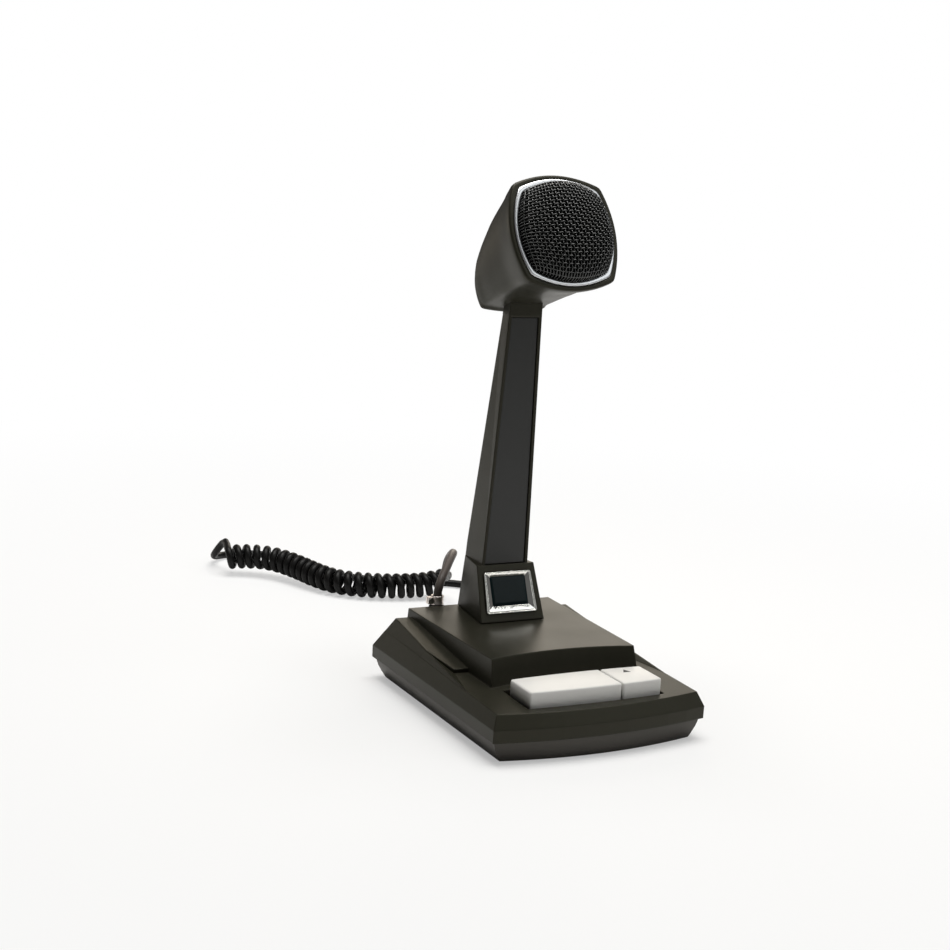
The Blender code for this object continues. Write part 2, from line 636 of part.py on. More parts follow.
door_plate = box(BATTERY_X[0] - DOOR_MARGIN + GAP, BATTERY_X[1] + DOOR_MARGIN - GAP,
                 Y(BATTERY_Y[0] - DOOR_MARGIN) + GAP, Y(BATTERY_Y[1] + DOOR_MARGIN + DOOR_TAB) - GAP,
                 PAN_BOTTOM_Z, PAN_BOTTOM_Z + DOOR_LEDGE)
DOOR = add("battery_door", door_plate, OLIVE)
boolean(DOOR, cylinder(DOOR_SCREW, SCREW_R / 2 + GAP, 0, PAN_FLOOR_Z, sides=12))
settle(DOOR)
countersunk("battery_door_screw", (*DOOR_SCREW, PAN_BOTTOM_Z - GAP - SCREW_HEAD_H / 3), SCREW_R * 1.3,
            SCREW_HEAD_H / 3, SCREW_R / 2, PAN_WALL + GAP)


# Insides of the base

BALLAST_X = (BATTERY_X[1] + BALLAST_PAST_BATTERY, LIP_HALF - BALLAST_FROM_SIDE)
BALLAST_Y = (GAIN_SPOT[1] + BALLAST_BEHIND_GAIN, Y(LIP_DEPTH - BALLAST_FROM_BACK))
BALLAST_Z = (PAN_FLOOR_Z + GAP, PAN_FLOOR_Z + GAP + BALLAST_THICK)
BALLAST = add("ballast_plate", box(*BALLAST_X, *BALLAST_Y, *BALLAST_Z), STEEL)
for rib_y in (BALLAST_Y[0] + RIB_THICK, BALLAST_Y[1] - RIB_THICK * 2):
    boolean(BALLAST, box(BALLAST_X[0] + RIB_THICK, BALLAST_X[1] - RIB_THICK, rib_y, rib_y + RIB_THICK,
                         BALLAST_Z[1] - OVERRUN, BOARD_UNDER_Z - GAP), "UNION")
settle(BALLAST)

BOARD_TOP_Z = BOARD_UNDER_Z + BOARD_THICK
BOARD = add("circuit_board", box(*BOARD_X, Y(BOARD_Y[0]), Y(BOARD_Y[1]), BOARD_UNDER_Z, BOARD_TOP_Z),
            BOARD_GREEN)
for shares, (radius, height) in zip(CAN_SPOT_SHARES, CAN_SIZES):
    can = cylinder(on_board(*shares), radius, BOARD_TOP_Z - BOARD_THICK / 2, BOARD_UNDER_Z + height, sides=16)
    boolean(BOARD, can, "UNION")
chip_low = on_board(CHIP_SHARES[0][0], CHIP_SHARES[1][0])
chip_high = on_board(CHIP_SHARES[0][1], CHIP_SHARES[1][1])
boolean(BOARD, box(chip_low[0], chip_high[0], chip_low[1], chip_high[1], BOARD_TOP_Z - BOARD_THICK / 2,
                   BOARD_UNDER_Z + CHIP_H), "UNION")
settle(BOARD)

ROTOR = add("gain_rotor", cylinder(GAIN_SPOT, GAIN_R, PAN_BOTTOM_Z + OVERRUN, BOARD_UNDER_Z - GAP), BRASS,
            origin=(*GAIN_SPOT, PAN_BOTTOM_Z))
boolean(ROTOR, box(GAIN_SPOT[0] - GAIN_R, GAIN_SPOT[0] + GAIN_R, GAIN_SPOT[1] - GAIN_SLOT / 2,
                   GAIN_SPOT[1] + GAIN_SLOT / 2, 0, PAN_BOTTOM_Z + OVERRUN * 2))
settle(ROTOR)

battery_top = PAN_BOTTOM_Z + DOOR_LEDGE + GAP + BATTERY_SIZE[2]
BATTERY = add("battery", box(*BATTERY_X, Y(BATTERY_Y[0]), Y(BATTERY_Y[1]), PAN_BOTTOM_Z + DOOR_LEDGE + GAP,
                             battery_top), BATTERY_CASE)
for side, radius in zip((-1, 1), POLE_RADII):
    pole = cylinder((0, 0), radius, 0, POLE_H, sides=16)
    pole.transform(Matrix.Translation((sum(BATTERY_X) / 2 + side * POLE_SPREAD,
                                       Y(BATTERY_Y[0]) + OVERRUN / 2, battery_top / 2 + OVERRUN))
                   @ Matrix.Rotation(pi / 2, 4, "X"))
    boolean(BATTERY, pole, "UNION")
settle(BATTERY)


# Talk bar, lock, hinge pin, spring and switch

LOCK_Z = BAR_TOP_Z - LOCK_DEEP
ARM_TOP_Z = BAR_SKIRT_Z - OVERRUN / 2
LOCK_MID_X = (BAR_SPLIT_X + BAR_HALF) / 2

def bar_outline(z, wall=0.0):
    return bowed_outline(BAR_HALF - wall, BAR_FRONT_Y + wall, BAR_BACK_Y - wall, BAR_BOW, z,
                         back_bow=BAR_BOW)


def make_talk_bar():
    """A hollow key with two arms that run back to the hinge under the block."""
    origin = (0, Y(HINGE_Y), HINGE_Z)
    bar = add("talk_bar", loft([bar_outline(BAR_SKIRT_Z), bar_outline(BAR_TOP_Z)]), WHITE, origin=origin)
    cavity = loft([bar_outline(BAR_SKIRT_Z - OVERRUN, BAR_WALL), bar_outline(LOCK_Z - BAR_WALL, BAR_WALL)])
    boolean(bar, cavity)
    front_face, back_face = Y(BAR_FRONT_Y - BAR_BOW) - OVERRUN, Y(BAR_BACK_Y + BAR_BOW) + OVERRUN
    boolean(bar, box(BAR_SPLIT_X, BAR_HALF + OVERRUN, front_face, back_face, LOCK_Z, BAR_TOP_Z + OVERRUN))
    middle_y = Y((BAR_FRONT_Y + BAR_BACK_Y) / 2)
    boolean(bar, box(LOCK_MID_X - KEEL_HALF - GAP, LOCK_MID_X + KEEL_HALF + GAP,
                     middle_y - KEEL_LONG / 2 - GAP,
                     middle_y + KEEL_LONG / 2 + LOCK_TRAVEL + GAP, LOCK_Z - BAR_WALL - OVERRUN, LOCK_Z + OVERRUN))
    settle(bar)
    for side in (-1, 1):
        x0, x1 = side * ARM_X - ARM_WIDTH / 2, side * ARM_X + ARM_WIDTH / 2
        boolean(bar, box(x0, x1, Y(BAR_BACK_Y - BAR_WALL), Y(HINGE_Y), ARM_TOP_Z - ARM_THICK,
                         ARM_TOP_Z), "UNION")
        boolean(bar, box(x0, x1, Y(BAR_BACK_Y - BAR_WALL), Y(BAR_BACK_Y), ARM_TOP_Z - ARM_THICK,
                         BAR_SKIRT_Z + OVERRUN * 2), "UNION")
        eye = cylinder((0, 0), ARM_THICK / 2 + GAP, -ARM_WIDTH / 2, ARM_WIDTH / 2, sides=24)
        eye.transform(Matrix.Translation((side * ARM_X, Y(HINGE_Y), HINGE_Z)) @ Matrix.Rotation(pi / 2,
                                                                                                4, "Y"))
        boolean(bar, eye, "UNION")
    boolean(bar, box(-BAR_WALL, BAR_WALL, middle_y, middle_y + BAR_WALL * 2, PRESSER_Z,
                     LOCK_Z - BAR_WALL / 2), "UNION")
    pad = cylinder(SPRING_SPOT, SPRING_R + BAR_WALL / 2, SPRING_TOP_Z + GAP, LOCK_Z - BAR_WALL / 2, sides=16)
    boolean(bar, pad, "UNION")
    settle(bar)
    bore = cylinder((0, 0), HINGE_PIN_R + GAP, -HINGE_LENGTH, HINGE_LENGTH, sides=16)
    bore.transform(Matrix.Translation((0, Y(HINGE_Y), HINGE_Z)) @ Matrix.Rotation(pi / 2, 4, "Y"))
    boolean(bar, bore)
    return settle(bar)


TALK_BAR = make_talk_bar()


def make_lock():
    """The slide on the bar's right end, with a keel that runs in the bar's slot."""
    origin = (LOCK_MID_X, Y((BAR_FRONT_Y + BAR_BACK_Y) / 2), LOCK_Z)
    lock = add("lock_slide", loft([bar_outline(LOCK_Z + GAP), bar_outline(BAR_TOP_Z)]), WHITE, origin=origin)
    beyond = BAR_HALF + OVERRUN
    cut_y = (Y(0), Y(BLOCK_FRONT_Y))
    boolean(lock, box(-beyond, BAR_SPLIT_X + GAP, *cut_y, LOCK_Z - OVERRUN, BAR_TOP_Z + OVERRUN))
    settle(lock)
    boolean(lock, box(LOCK_MID_X - KEEL_HALF, LOCK_MID_X + KEEL_HALF, origin[1] - KEEL_LONG / 2,
                      origin[1] + KEEL_LONG / 2, LOCK_Z - KEEL_DEEP, LOCK_Z + OVERRUN), "UNION")
    settle(lock)
    return soften(lock, EDGE_R, angle=50)


LOCK = make_lock()
pin = cylinder((0, 0), HINGE_PIN_R, -HINGE_LENGTH / 2, HINGE_LENGTH / 2, sides=16)
pin.transform(Matrix.Translation((0, Y(HINGE_Y), HINGE_Z)) @ Matrix.Rotation(pi / 2, 4, "Y"))
add("hinge_pin", pin, STEEL)


def helix_points(turns, per_turn, radius, pitch, end_run):
    """Points up a helix about +Z, with straight ends along Z at its radius."""
    count = turns * per_turn
    points = [Vector((radius, 0, 0))]
    for i in range(count + 1):
        a = 2 * pi * i / per_turn
        points.append(Vector((radius * cos(a), radius * sin(a), end_run + pitch * i / per_turn)))
    points.append(points[-1] + Vector((0, 0, end_run)))
    return points


def least_gap(points, radius, skip):
    """The least distance between stretches of a tube that are not neighbours along it."""
    best = 1.0
    for i in range(len(points)):
        for j in range(i + skip, len(points)):
            best = min(best, (points[i] - points[j]).length)
    return best - 2 * radius


spring_run = SPRING_TOP_Z - SPRING_SEAT_Z - GAP
spring_end = SPRING_WIRE * 2
spring_pitch = (spring_run - spring_end * 2) / SPRING_TURNS
spring_line = helix_points(SPRING_TURNS, 10, SPRING_R, spring_pitch, spring_end)
foot_of_spring = Vector((*SPRING_SPOT, SPRING_SEAT_Z + GAP))
SPRING = tube("return_spring", [p + foot_of_spring for p in spring_line], SPRING_WIRE, STEEL, resolution=1)

SWITCH_Y = Y((BAR_FRONT_Y + BAR_BACK_Y) / 2) + BAR_WALL
SWITCH_Z = (PAN_FLOOR_Z + GAP, PAN_FLOOR_Z + GAP + SWITCH_SIZE[1])
# The plunger stands where the fully pressed bar just meets it
PRESSED_Z = PRESSER_Z - (Y(HINGE_Y) - SWITCH_Y) * sin(PRESS_ANGLE) - GAP / 2
SWITCH = add("talk_switch", box(-SWITCH_SIZE[0] / 2, SWITCH_SIZE[0] / 2, SWITCH_Y - SWITCH_SIZE[2] / 2,
                                SWITCH_Y + SWITCH_SIZE[2] / 2, *SWITCH_Z), SMOOTH_BLACK)
boolean(SWITCH, cylinder((0, SWITCH_Y), SWITCH_STEM_R, SWITCH_Z[1] - OVERRUN, PRESSED_Z, sides=12), "UNION")
settle(SWITCH)


# Stem, with the badge box at its foot

STEM_BASE_Z = BLOCK_TOP_Z + GAP
BOX_TILT = atan2(BOX_TOP_FRONT_Y - STEM_FOOT_FRONT_Y, BOX_TOP_Z - STEM_BASE_Z)
STEM_TOP_RAW_Z = STEM_TOP_Z + STEM_INTO_HEAD
BORE_FRONT = STEM_WALL * 2


def between(a, b, t):
    return a + (b - a) * t


def stem_front(z):
    t = (z - STEM_BASE_Z) / (STEM_TOP_Z - STEM_BASE_Z)
    return between(STEM_FRONT_Y, STEM_FRONT_TOP_Y, t)


def stem_half(z):
    t = (z - STEM_BASE_Z) / (STEM_TOP_Z - STEM_BASE_Z)
    return between(STEM_LOW_WIDTH, STEM_TOP_WIDTH, t) / 2


def stem_back(z):
    if z < STEM_BEND_Z:
        return between(STEM_FOOT_BACK_Y, STEM_BEND_BACK_Y, (z - STEM_BASE_Z) / (STEM_BEND_Z - STEM_BASE_Z))
    return between(STEM_BEND_BACK_Y, STEM_BACK_TOP_Y, (z - STEM_BEND_Z) / (STEM_TOP_Z - STEM_BEND_Z))


def quad_ring(front_half, back_half, front, back, z):
    return [(-front_half, Y(front), z), (front_half, Y(front), z), (back_half, Y(back), z),
            (-back_half, Y(back), z)]


def stem_ring(z, wall=0.0, front_wall=None, at=None):
    front_wall = wall if front_wall is None else front_wall
    half = stem_half(z) - wall
    return quad_ring(half, half - STEM_BACK_NARROW, stem_front(z) + front_wall, stem_back(z) - wall,
                     z if at is None else at)


def panel_loft(margin, depth0, depth1):
    """The strip down the stem's front, between the side walls."""
    rings = []
    for z in (BOX_TOP_Z + margin, STEM_TOP_Z - PANEL_BORDER * 2 - margin):
        half = stem_half(z) - PANEL_BORDER - margin
        rings.append(quad_ring(half, half, stem_front(z) + depth0, stem_front(z) + depth1, z))
    return loft(rings)


def badge_place(x, up, out):
    """A point on the badge plate's plane: across, up the slanted box front, and out from it."""
    return Vector((x, Y(STEM_FOOT_FRONT_Y) + up * sin(BOX_TILT) - out * cos(BOX_TILT),
                   STEM_BASE_Z + up * cos(BOX_TILT) + out * sin(BOX_TILT)))


def badge_ring(margin, out, steps=4):
    """The plate's rounded outline, drawn in by a margin, at a height above the box front."""
    low, high = BADGE_LOW + margin, BADGE_HIGH - margin
    w_low, w_high = BADGE_LOW_WIDTH / 2 - margin, BADGE_TOP_WIDTH / 2 - margin
    r = BADGE_CORNER_SHARE * (BADGE_HIGH - BADGE_LOW)
    corners = ((w_low, low, -pi / 2), (w_high, high, 0.0), (-w_high, high, pi / 2), (-w_low, low, pi))
    ring = []
    for x, up, start in corners:
        cx, cy = x - r * (1 if x > 0 else -1), up + r * (1 if up == low else -1)
        for i in range(steps + 1):
            a = start + (pi / 2) * i / steps
            ring.append(badge_place(cx + r * cos(a), cy + r * sin(a), out))
    return ring


def make_stem():
    stem = add("stem_column", loft([stem_ring(STEM_BASE_Z), stem_ring(STEM_BEND_Z),
                                    stem_ring(STEM_TOP_RAW_Z)]), OLIVE)
    foot = loft([quad_ring(STEM_FOOT_FRONT_WIDTH / 2, STEM_FOOT_BACK_WIDTH / 2, STEM_FOOT_FRONT_Y,
                           STEM_FOOT_BACK_Y - GAP, STEM_BASE_Z),
                 quad_ring(BOX_TOP_WIDTH / 2, stem_half(BOX_TOP_Z) - STEM_BACK_NARROW + GAP, BOX_TOP_FRONT_Y,
                           stem_back(BOX_TOP_Z) - GAP, BOX_TOP_Z)])
    boolean(stem, foot, "UNION")
    settle(stem)
    boolean(stem, panel_loft(0.0, -OVERRUN, PANEL_INSET + PANEL_THICK))
    bore = loft([stem_ring(STEM_BASE_Z, STEM_WALL, BORE_FRONT, STEM_BASE_Z - OVERRUN),
                 stem_ring(STEM_BEND_Z, STEM_WALL, BORE_FRONT), stem_ring(STEM_TOP_RAW_Z, STEM_WALL,
                                                                          BORE_FRONT,
                                                                         STEM_TOP_RAW_Z + OVERRUN)])
    boolean(stem, bore)
    boolean(stem, loft([badge_ring(-GAP, -BADGE_SINK), badge_ring(-GAP, BADGE_THICK)]))
    for side in (-1, 1):
        boolean(stem, cylinder((side * STEM_SCREW_X, Y(STEM_SCREW_Y)), SCREW_R + GAP, STEM_BASE_Z - OVERRUN,
                               STEM_BASE_Z + STEM_SCREW_GRIP + GAP, sides=12))
    boolean(stem, head_outer(GAP))
    settle(stem)
    keep_largest(stem)
    return stem


def keep_largest(obj):
    """Drop the scraps that a cut leaves beyond itself."""
    bm = bmesh.new()
    bm.from_mesh(obj.data)
    seen, groups = set(), []
    for start in bm.verts:
        if start in seen:
            continue
        stack, group = [start], []
        seen.add(start)
        while stack:
            v = stack.pop()
            group.append(v)
            for edge in v.link_edges:
                other = edge.other_vert(v)
                if other not in seen:
                    seen.add(other)
                    stack.append(other)
        groups.append(group)
    groups.sort(key=len)
    scraps = [v for group in groups[:-1] for v in group]
    bmesh.ops.delete(bm, geom=scraps, context="VERTS")
    bm.to_mesh(obj.data)
    bm.free()


# Head

HEAD_BACK = Vector((0, cos(HEAD_TILT), -sin(HEAD_TILT)))
HEAD_UP = Vector((0, sin(HEAD_TILT), cos(HEAD_TILT)))
HEAD_SIDE = Vector((1, 0, 0))
HEAD_ORIGIN = Vector((0, Y(HEAD_FACE_Y), HEAD_FACE_Z))
BULGE = HEAD_MID - HEAD_CORNER


def head_point(side, back, up):
    return HEAD_ORIGIN + HEAD_SIDE * side + HEAD_BACK * back + HEAD_UP * up


def bulged_ring(back, half, top, bottom, bulge):
    """A square outline whose four sides swell outwards, at a depth behind the face."""
    ring = []
    for i in range(FACE_STEPS):
        u = 2 * i / FACE_STEPS - 1
        ring.append(head_point(half * u, back, -bottom - bulge * (1 - u * u)))
    for i in range(FACE_STEPS):
        u = 2 * i / FACE_STEPS - 1
        ring.append(head_point(half + bulge * (1 - u * u), back, between(-bottom, top, (u + 1) / 2)))
    for i in range(FACE_STEPS):
        u = 1 - 2 * i / FACE_STEPS
        ring.append(head_point(half * u, back, top + bulge * (1 - u * u)))
    for i in range(FACE_STEPS):
        u = 1 - 2 * i / FACE_STEPS
        ring.append(head_point(-half - bulge * (1 - u * u), back, between(-bottom, top, (u + 1) / 2)))
    return ring


def face_ring(back, inset):
    """The face's own outline, drawn in evenly."""
    corner = HEAD_CORNER - inset
    return bulged_ring(back, corner, corner, corner, BULGE)


def head_outer(grow=0.0, wall=0.0, first=0, last=None, lead=None):
    rings = []
    for depth, half, top, bottom, bulge in SECTION_SHARES[first:last]:
        rings.append(bulged_ring(depth * HEAD_LENGTH + grow * (1 if depth > 0.99 else 0),
                                 half * HEAD_CORNER + grow - wall, top * HEAD_CORNER + grow - wall,
                                 bottom * HEAD_CORNER + grow - wall, bulge * BULGE))
    return loft((lead or []) + rings)


RING_IN = RIM_WIDTH + RING_WIDTH
FOAM_BACK = CARRIER_BACK - GAP


def make_head():
    """The tapering head shell: ring recess, grille ledge, hollow, and the way down to the stem."""
    head = add("head_shell", head_outer(), OLIVE)
    recess = RIM_WIDTH - GAP
    boolean(head, loft([face_ring(-OVERRUN, recess), face_ring(RING_DEPTH, recess)]))
    mouth = RING_IN + GRILLE_LEDGE
    boolean(head, head_outer(wall=HEAD_WALL, first=2, last=6,
                             lead=[face_ring(-OVERRUN, mouth), face_ring(STRAIGHT_BACK, mouth)]))
    boolean(head, cylinder((0, Y(LEAD_Y)), LEAD_R * 2, STEM_TOP_Z - HEAD_WALL * 3,
                           HEAD_FACE_Z - CAPSULE_H * 2, sides=12))
    return settle(head)


HEAD = make_head()
STEM = make_stem()
add("stem_front_panel", panel_loft(GAP, PANEL_INSET, PANEL_INSET + PANEL_THICK - GAP), SMOOTH_BLACK)

for number, side in enumerate((-1, 1), 1):
    head_h = SCREW_HEAD_H
    under = BLOCK_TOP_Z - COVER_WALL - GAP - head_h
    hole = cylinder((side * STEM_SCREW_X, Y(STEM_SCREW_Y)), SCREW_R + GAP, under, STEM_BASE_Z, sides=12)
    boolean(COVER, hole)
    countersunk(f"stem_screw_{number}", (side * STEM_SCREW_X, Y(STEM_SCREW_Y), under), SCREW_HEAD_R, head_h,
                SCREW_R, head_h + COVER_WALL + STEM_SCREW_GRIP)

# Badge: a bevelled bright frame round a dark face
BADGE_FLOOR = -BADGE_SINK + GAP
frame = loft([badge_ring(0.0, BADGE_FLOOR), badge_ring(0.0, BADGE_FLOOR + BADGE_SINK),
              badge_ring(BADGE_RIM * BADGE_BEVEL_SHARES[0], BADGE_THICK - BADGE_SINK),
              badge_ring(BADGE_RIM * BADGE_BEVEL_SHARES[1], BADGE_THICK - BADGE_SINK),
              badge_ring(BADGE_RIM, 0.0)])
FRAME = add("badge_frame", frame, CHROME)
boolean(FRAME, loft([badge_ring(BADGE_RIM - GAP, BADGE_FLOOR + EDGE_R), badge_ring(BADGE_RIM - GAP,
                                                                                   BADGE_THICK)]))
settle(FRAME)
add("badge_face", loft([badge_ring(BADGE_RIM, BADGE_FLOOR + EDGE_R + GAP), badge_ring(BADGE_RIM,
                                                                                      BADGE_THICK / 3)]), BADGE_BLUE)

RING = add("head_ring", loft([face_ring(-RING_PROUD, RIM_WIDTH), face_ring(RING_DEPTH - GAP,
                                                                           RIM_WIDTH)]), SILVER)
boolean(RING, loft([face_ring(-RING_PROUD - OVERRUN, RING_IN), face_ring(RING_DEPTH + OVERRUN, RING_IN)]))
settle(RING)
soften(RING, EDGE_R, segments=1, angle=50)


# Grille: a domed net of crossing wires, seated on the ledge inside the ring

def dome(u, v, rise):
    return rise * ((1 - u * u) * (1 - v * v)) ** DOME_POWER_SHARE


def domed_grid(bm, cells, inset, rise, edge_back, weave=0.0):
    """A square grid bent to the face's outline and raised to the dome."""
    corner = HEAD_CORNER - inset
    rows = []
    for j in range(cells + 1):
        v = 2 * j / cells - 1
        row = []
        for i in range(cells + 1):
            u = 2 * i / cells - 1
            side = corner * u + BULGE * u * (1 - v * v)
            up = corner * v + BULGE * v * (1 - u * u)
            inner = 0 < i < cells and 0 < j < cells
            lift = weave * (1 if (i + j) % 2 else -1) if inner else 0.0
            row.append(bm.verts.new(head_point(side, edge_back - dome(u, v, rise) + lift, up)))
        rows.append(row)
    for j in range(cells):
        for i in range(cells):
            bm.faces.new((rows[j][i], rows[j][i + 1], rows[j + 1][i + 1], rows[j + 1][i]))
    return rows


net = bmesh.new()
GRILLE_EDGE = RING_DEPTH - GAP - GRILLE_WIRE / 2
domed_grid(net, GRILLE_CELLS, RING_IN + GAP + GRILLE_WIRE / 2, GRILLE_RISE, GRILLE_EDGE, GRILLE_WEAVE)
GRILLE = add("grille_mesh", net, MESH_BLACK)
wires = GRILLE.modifiers.new("wires", "WIREFRAME")
wires.thickness = GRILLE_WIRE
wires.offset = 0.0
wires.use_boundary = True
wires.use_replace = True
wires.use_even_offset = False

pad = bmesh.new()
foam_front = domed_grid(pad, FOAM_CELLS, RING_IN + GRILLE_LEDGE + GAP, GRILLE_RISE - GRILLE_WIRE,
                        FOAM_BACK - FOAM_THICK)
back_rows = bmesh.ops.extrude_face_region(pad, geom=pad.faces[:])
for v in back_rows["geom"]:
    if isinstance(v, bmesh.types.BMVert):
        depth = (v.co - HEAD_ORIGIN).dot(HEAD_BACK)
        v.co += HEAD_BACK * (FOAM_BACK - depth)
add("grille_foam", pad, FOAM)


def along_head(back, length, radius, sides=32):
    bm = cylinder((0, 0), radius, 0, length, sides=sides)
    bm.transform(oriented(head_point(0, back, 0), HEAD_BACK))
    return bm


BOOT = add("capsule_boot", loft([face_ring(CARRIER_BACK, RING_IN + GRILLE_LEDGE + GAP),
                                 face_ring(CARRIER_BACK + CARRIER_THICK,
                                           RING_IN + GRILLE_LEDGE + GAP)]), RUBBER)
boolean(BOOT, along_head(CARRIER_BACK + GAP, CAPSULE_H + CARRIER_THICK,
                         CAPSULE_R + BOOT_WALL / 2 + GAP), "UNION")
settle(BOOT)
boolean(BOOT, along_head(CARRIER_BACK - OVERRUN, CAPSULE_H + OVERRUN + GAP, CAPSULE_R + GAP))
boolean(BOOT, along_head(CARRIER_BACK, CAPSULE_H * 2, LEAD_R * 3, sides=16))
settle(BOOT)
CAPSULE = add("microphone_capsule", along_head(CARRIER_BACK, CAPSULE_H, CAPSULE_R), STEEL)
for spot in range(CAPSULE_HOLES):
    a = 2 * pi * spot / CAPSULE_HOLES
    hole = cylinder((CAPSULE_R / 2 * cos(a), CAPSULE_R / 2 * sin(a)), CAPSULE_R / 8, -OVERRUN, OVERRUN,
                    sides=12)
    hole.transform(oriented(head_point(0, CARRIER_BACK, 0), HEAD_BACK))
    boolean(CAPSULE, hole)
settle(CAPSULE)


# Cord: bushing, clamp, tail, curly run, lead and plug

def swept(points, per_span=8):
    """A smooth curve through the route's points, read at even steps of its own length."""
    points = [Vector(p) for p in points]
    ends = [points[0] * 2 - points[1]] + points + [points[-1] * 2 - points[-2]]
    fine = []
    for a, b, c, d in zip(ends, ends[1:], ends[2:], ends[3:]):
        for i in range(per_span):
            t = i / per_span
            fine.append(0.5 * ((2 * b) + (c - a) * t + (2 * a - 5 * b + 4 * c - d) * t * t
                               + (3 * b - a - 3 * c + d) * t * t * t))
    fine.append(points[-1])
    return fine


def length_of(points):
    return sum((b - a).length for a, b in zip(points, points[1:]))


def even(points, step):
    """The same curve with its points an even step apart."""
    total = length_of(points)
    count = max(2, round(total / step))
    out, walked, k = [points[0].copy()], 0.0, 0
    for i in range(1, count):
        goal = total * i / count
        while walked + (points[k + 1] - points[k]).length < goal:
            walked += (points[k + 1] - points[k]).length
            k += 1
        span = (points[k + 1] - points[k]).length
        out.append(points[k].lerp(points[k + 1], (goal - walked) / span))
    out.append(points[-1].copy())
    return out


def route(points_mm):
    """Route points in millimetres from the middle, the front corners of the lip, and the table."""
    return [Vector((x * MM, Y(depth * MM), z * MM)) for x, depth, z in points_mm]


COIL_AXIS = route([(41.0, 246.6, 9.6), (29.0, 249.0, 7.6), (16.0, 251.2, 7.3), (4.0, 255.0, 7.3),
                   (-7.0, 261.4, 7.3), (-15.4, 270.4, 7.4), (-21.0, 281.4, 8.0), (-25.4, 293.0, 9.0),
                   (-30.6, 304.4, 10.0), (-38.0, 314.0, 10.8), (-47.6, 320.6, 10.8), (-59.0, 324.6, 10.2)])
TAIL_ROUTE = route([(-21.7, 125.6, 29.0), (-21.7, 125.6, 36.0), (-21.5, 125.8, 41.0), (-18.6, 128.4, 46.2),
                    (-13.2, 135.0, 49.2), (-7.2, 142.6, 52.2), (-1.0, 152.0, 52.6), (3.0, 163.0, 48.2),
                    (8.0, 176.0, 41.4), (15.4, 192.0, 33.2), (24.6, 210.0, 24.6), (33.0, 225.0, 18.2)])
LEAD_ROUTE = route([(-60.4, 343.0, 8.0), (-56.6, 353.0, 3.4), (-46.4, 359.0, 2.3), (-33.0, 357.6, 2.3),
                    (-22.6, 349.6, 2.3), (-15.6, 337.6, 2.3), (-10.4, 321.6, 2.3), (-4.0, 304.8, 2.3),
                    (4.6, 292.4, 2.3), (16.6, 283.4, 2.3), (31.0, 277.4, 2.3), (46.6, 271.0, 2.3),
                    (61.6, 261.4, 2.3), (73.6, 247.0, 2.3), (79.6, 229.0, 2.3), (80.2, 210.0, 2.3),
                    (78.4, 192.0, 2.3), (75.4, 176.0, 2.6), (69.0, 162.6, 4.8), (60.4, 153.8, 7.9)])
PLUG_END = Vector((44.0 * MM, Y(151.0 * MM), PLUG_R + GAP))


def coil_line():
    """One unbroken helix about the axis route, more open where the route bends."""
    axis = even(swept(COIL_AXIS), COIL_MEAN_R / 8)
    ahead = [(axis[min(i + 1, len(axis) - 1)] - axis[max(i - 1, 0)]).normalized() for i in range(len(axis))]
    phase, phases = 0.0, [0.0]
    for i in range(1, len(axis)):
        a, b = ahead[max(i - BEND_POINTS, 0)], ahead[min(i + BEND_POINTS, len(axis) - 1)]
        run = (min(i + BEND_POINTS, len(axis) - 1) - max(i - BEND_POINTS, 0)) * (axis[1] - axis[0]).length
        curving = a.angle(b) / run
        pitch = max(COIL_PITCH, (CORD_R * 2 + COIL_CLEAR) / (1 - COIL_MEAN_R * curving))
        phase += 2 * pi * (axis[i] - axis[i - 1]).length / pitch
        phases.append(phase)
    turns = round(phase / (2 * pi))
    stretch = turns * 2 * pi / phase
    count = turns * CURL_POINTS
    line, k = [], 0
    for n in range(count + 1):
        goal = 2 * pi * n / CURL_POINTS / stretch
        while k < len(phases) - 2 and phases[k + 1] < goal:
            k += 1
        t = min(1.0, (goal - phases[k]) / (phases[k + 1] - phases[k]))
        centre, heading = axis[k].lerp(axis[k + 1], t), ahead[k].lerp(ahead[k + 1], t).normalized()
        across = heading.cross(Vector((0, 0, 1))).normalized()
        upward = across.cross(heading).normalized()
        a = 2 * pi * n / CURL_POINTS
        line.append(centre + upward * (COIL_MEAN_R * cos(a)) + across * (COIL_MEAN_R * sin(a)))
    start = line[0] + (line[0] - line[1]).normalized() * CORD_R * 2
    end = line[-1] + (line[-1] - line[-2]).normalized() * CORD_R * 2
    return [start] + line + [end], turns


def make_cord():
    curls, turns = coil_line()
    gap = least_gap(curls, CORD_R, CURL_POINTS - 3)
    into = (curls[1] - curls[0]).normalized()
    out = (curls[-1] - curls[-2]).normalized()
    straight = CORD_R * CORD_STRAIGHT_SHARE
    tail = swept(TAIL_ROUTE + [curls[0] - into * straight, curls[0] - into * GAP])
    lead = swept([curls[-1] + out * GAP, curls[-1] + out * straight] + LEAD_ROUTE
                 + [PLUG_END + Vector((CORD_R * 4, 0, 0)), PLUG_END + Vector((GAP, 0, 0))])
    step = CORD_R * 2 * CORD_STEP_SHARE
    tube("cord_tail", even(tail, step), CORD_R, CORD_BLACK)
    tube("cord_curls", curls, CORD_R, CORD_BLACK, resolution=1)
    tube("cord_lead", even(lead, step), CORD_R, CORD_BLACK)
    lengths = [length_of(tail), length_of(curls), length_of(lead)]
    print("curls", turns, "least gap to itself mm", round(gap / MM, 2))
    print("cord lengths mm", [round(x / MM) for x in lengths], "in all", round(sum(lengths) / MM))


make_cord()

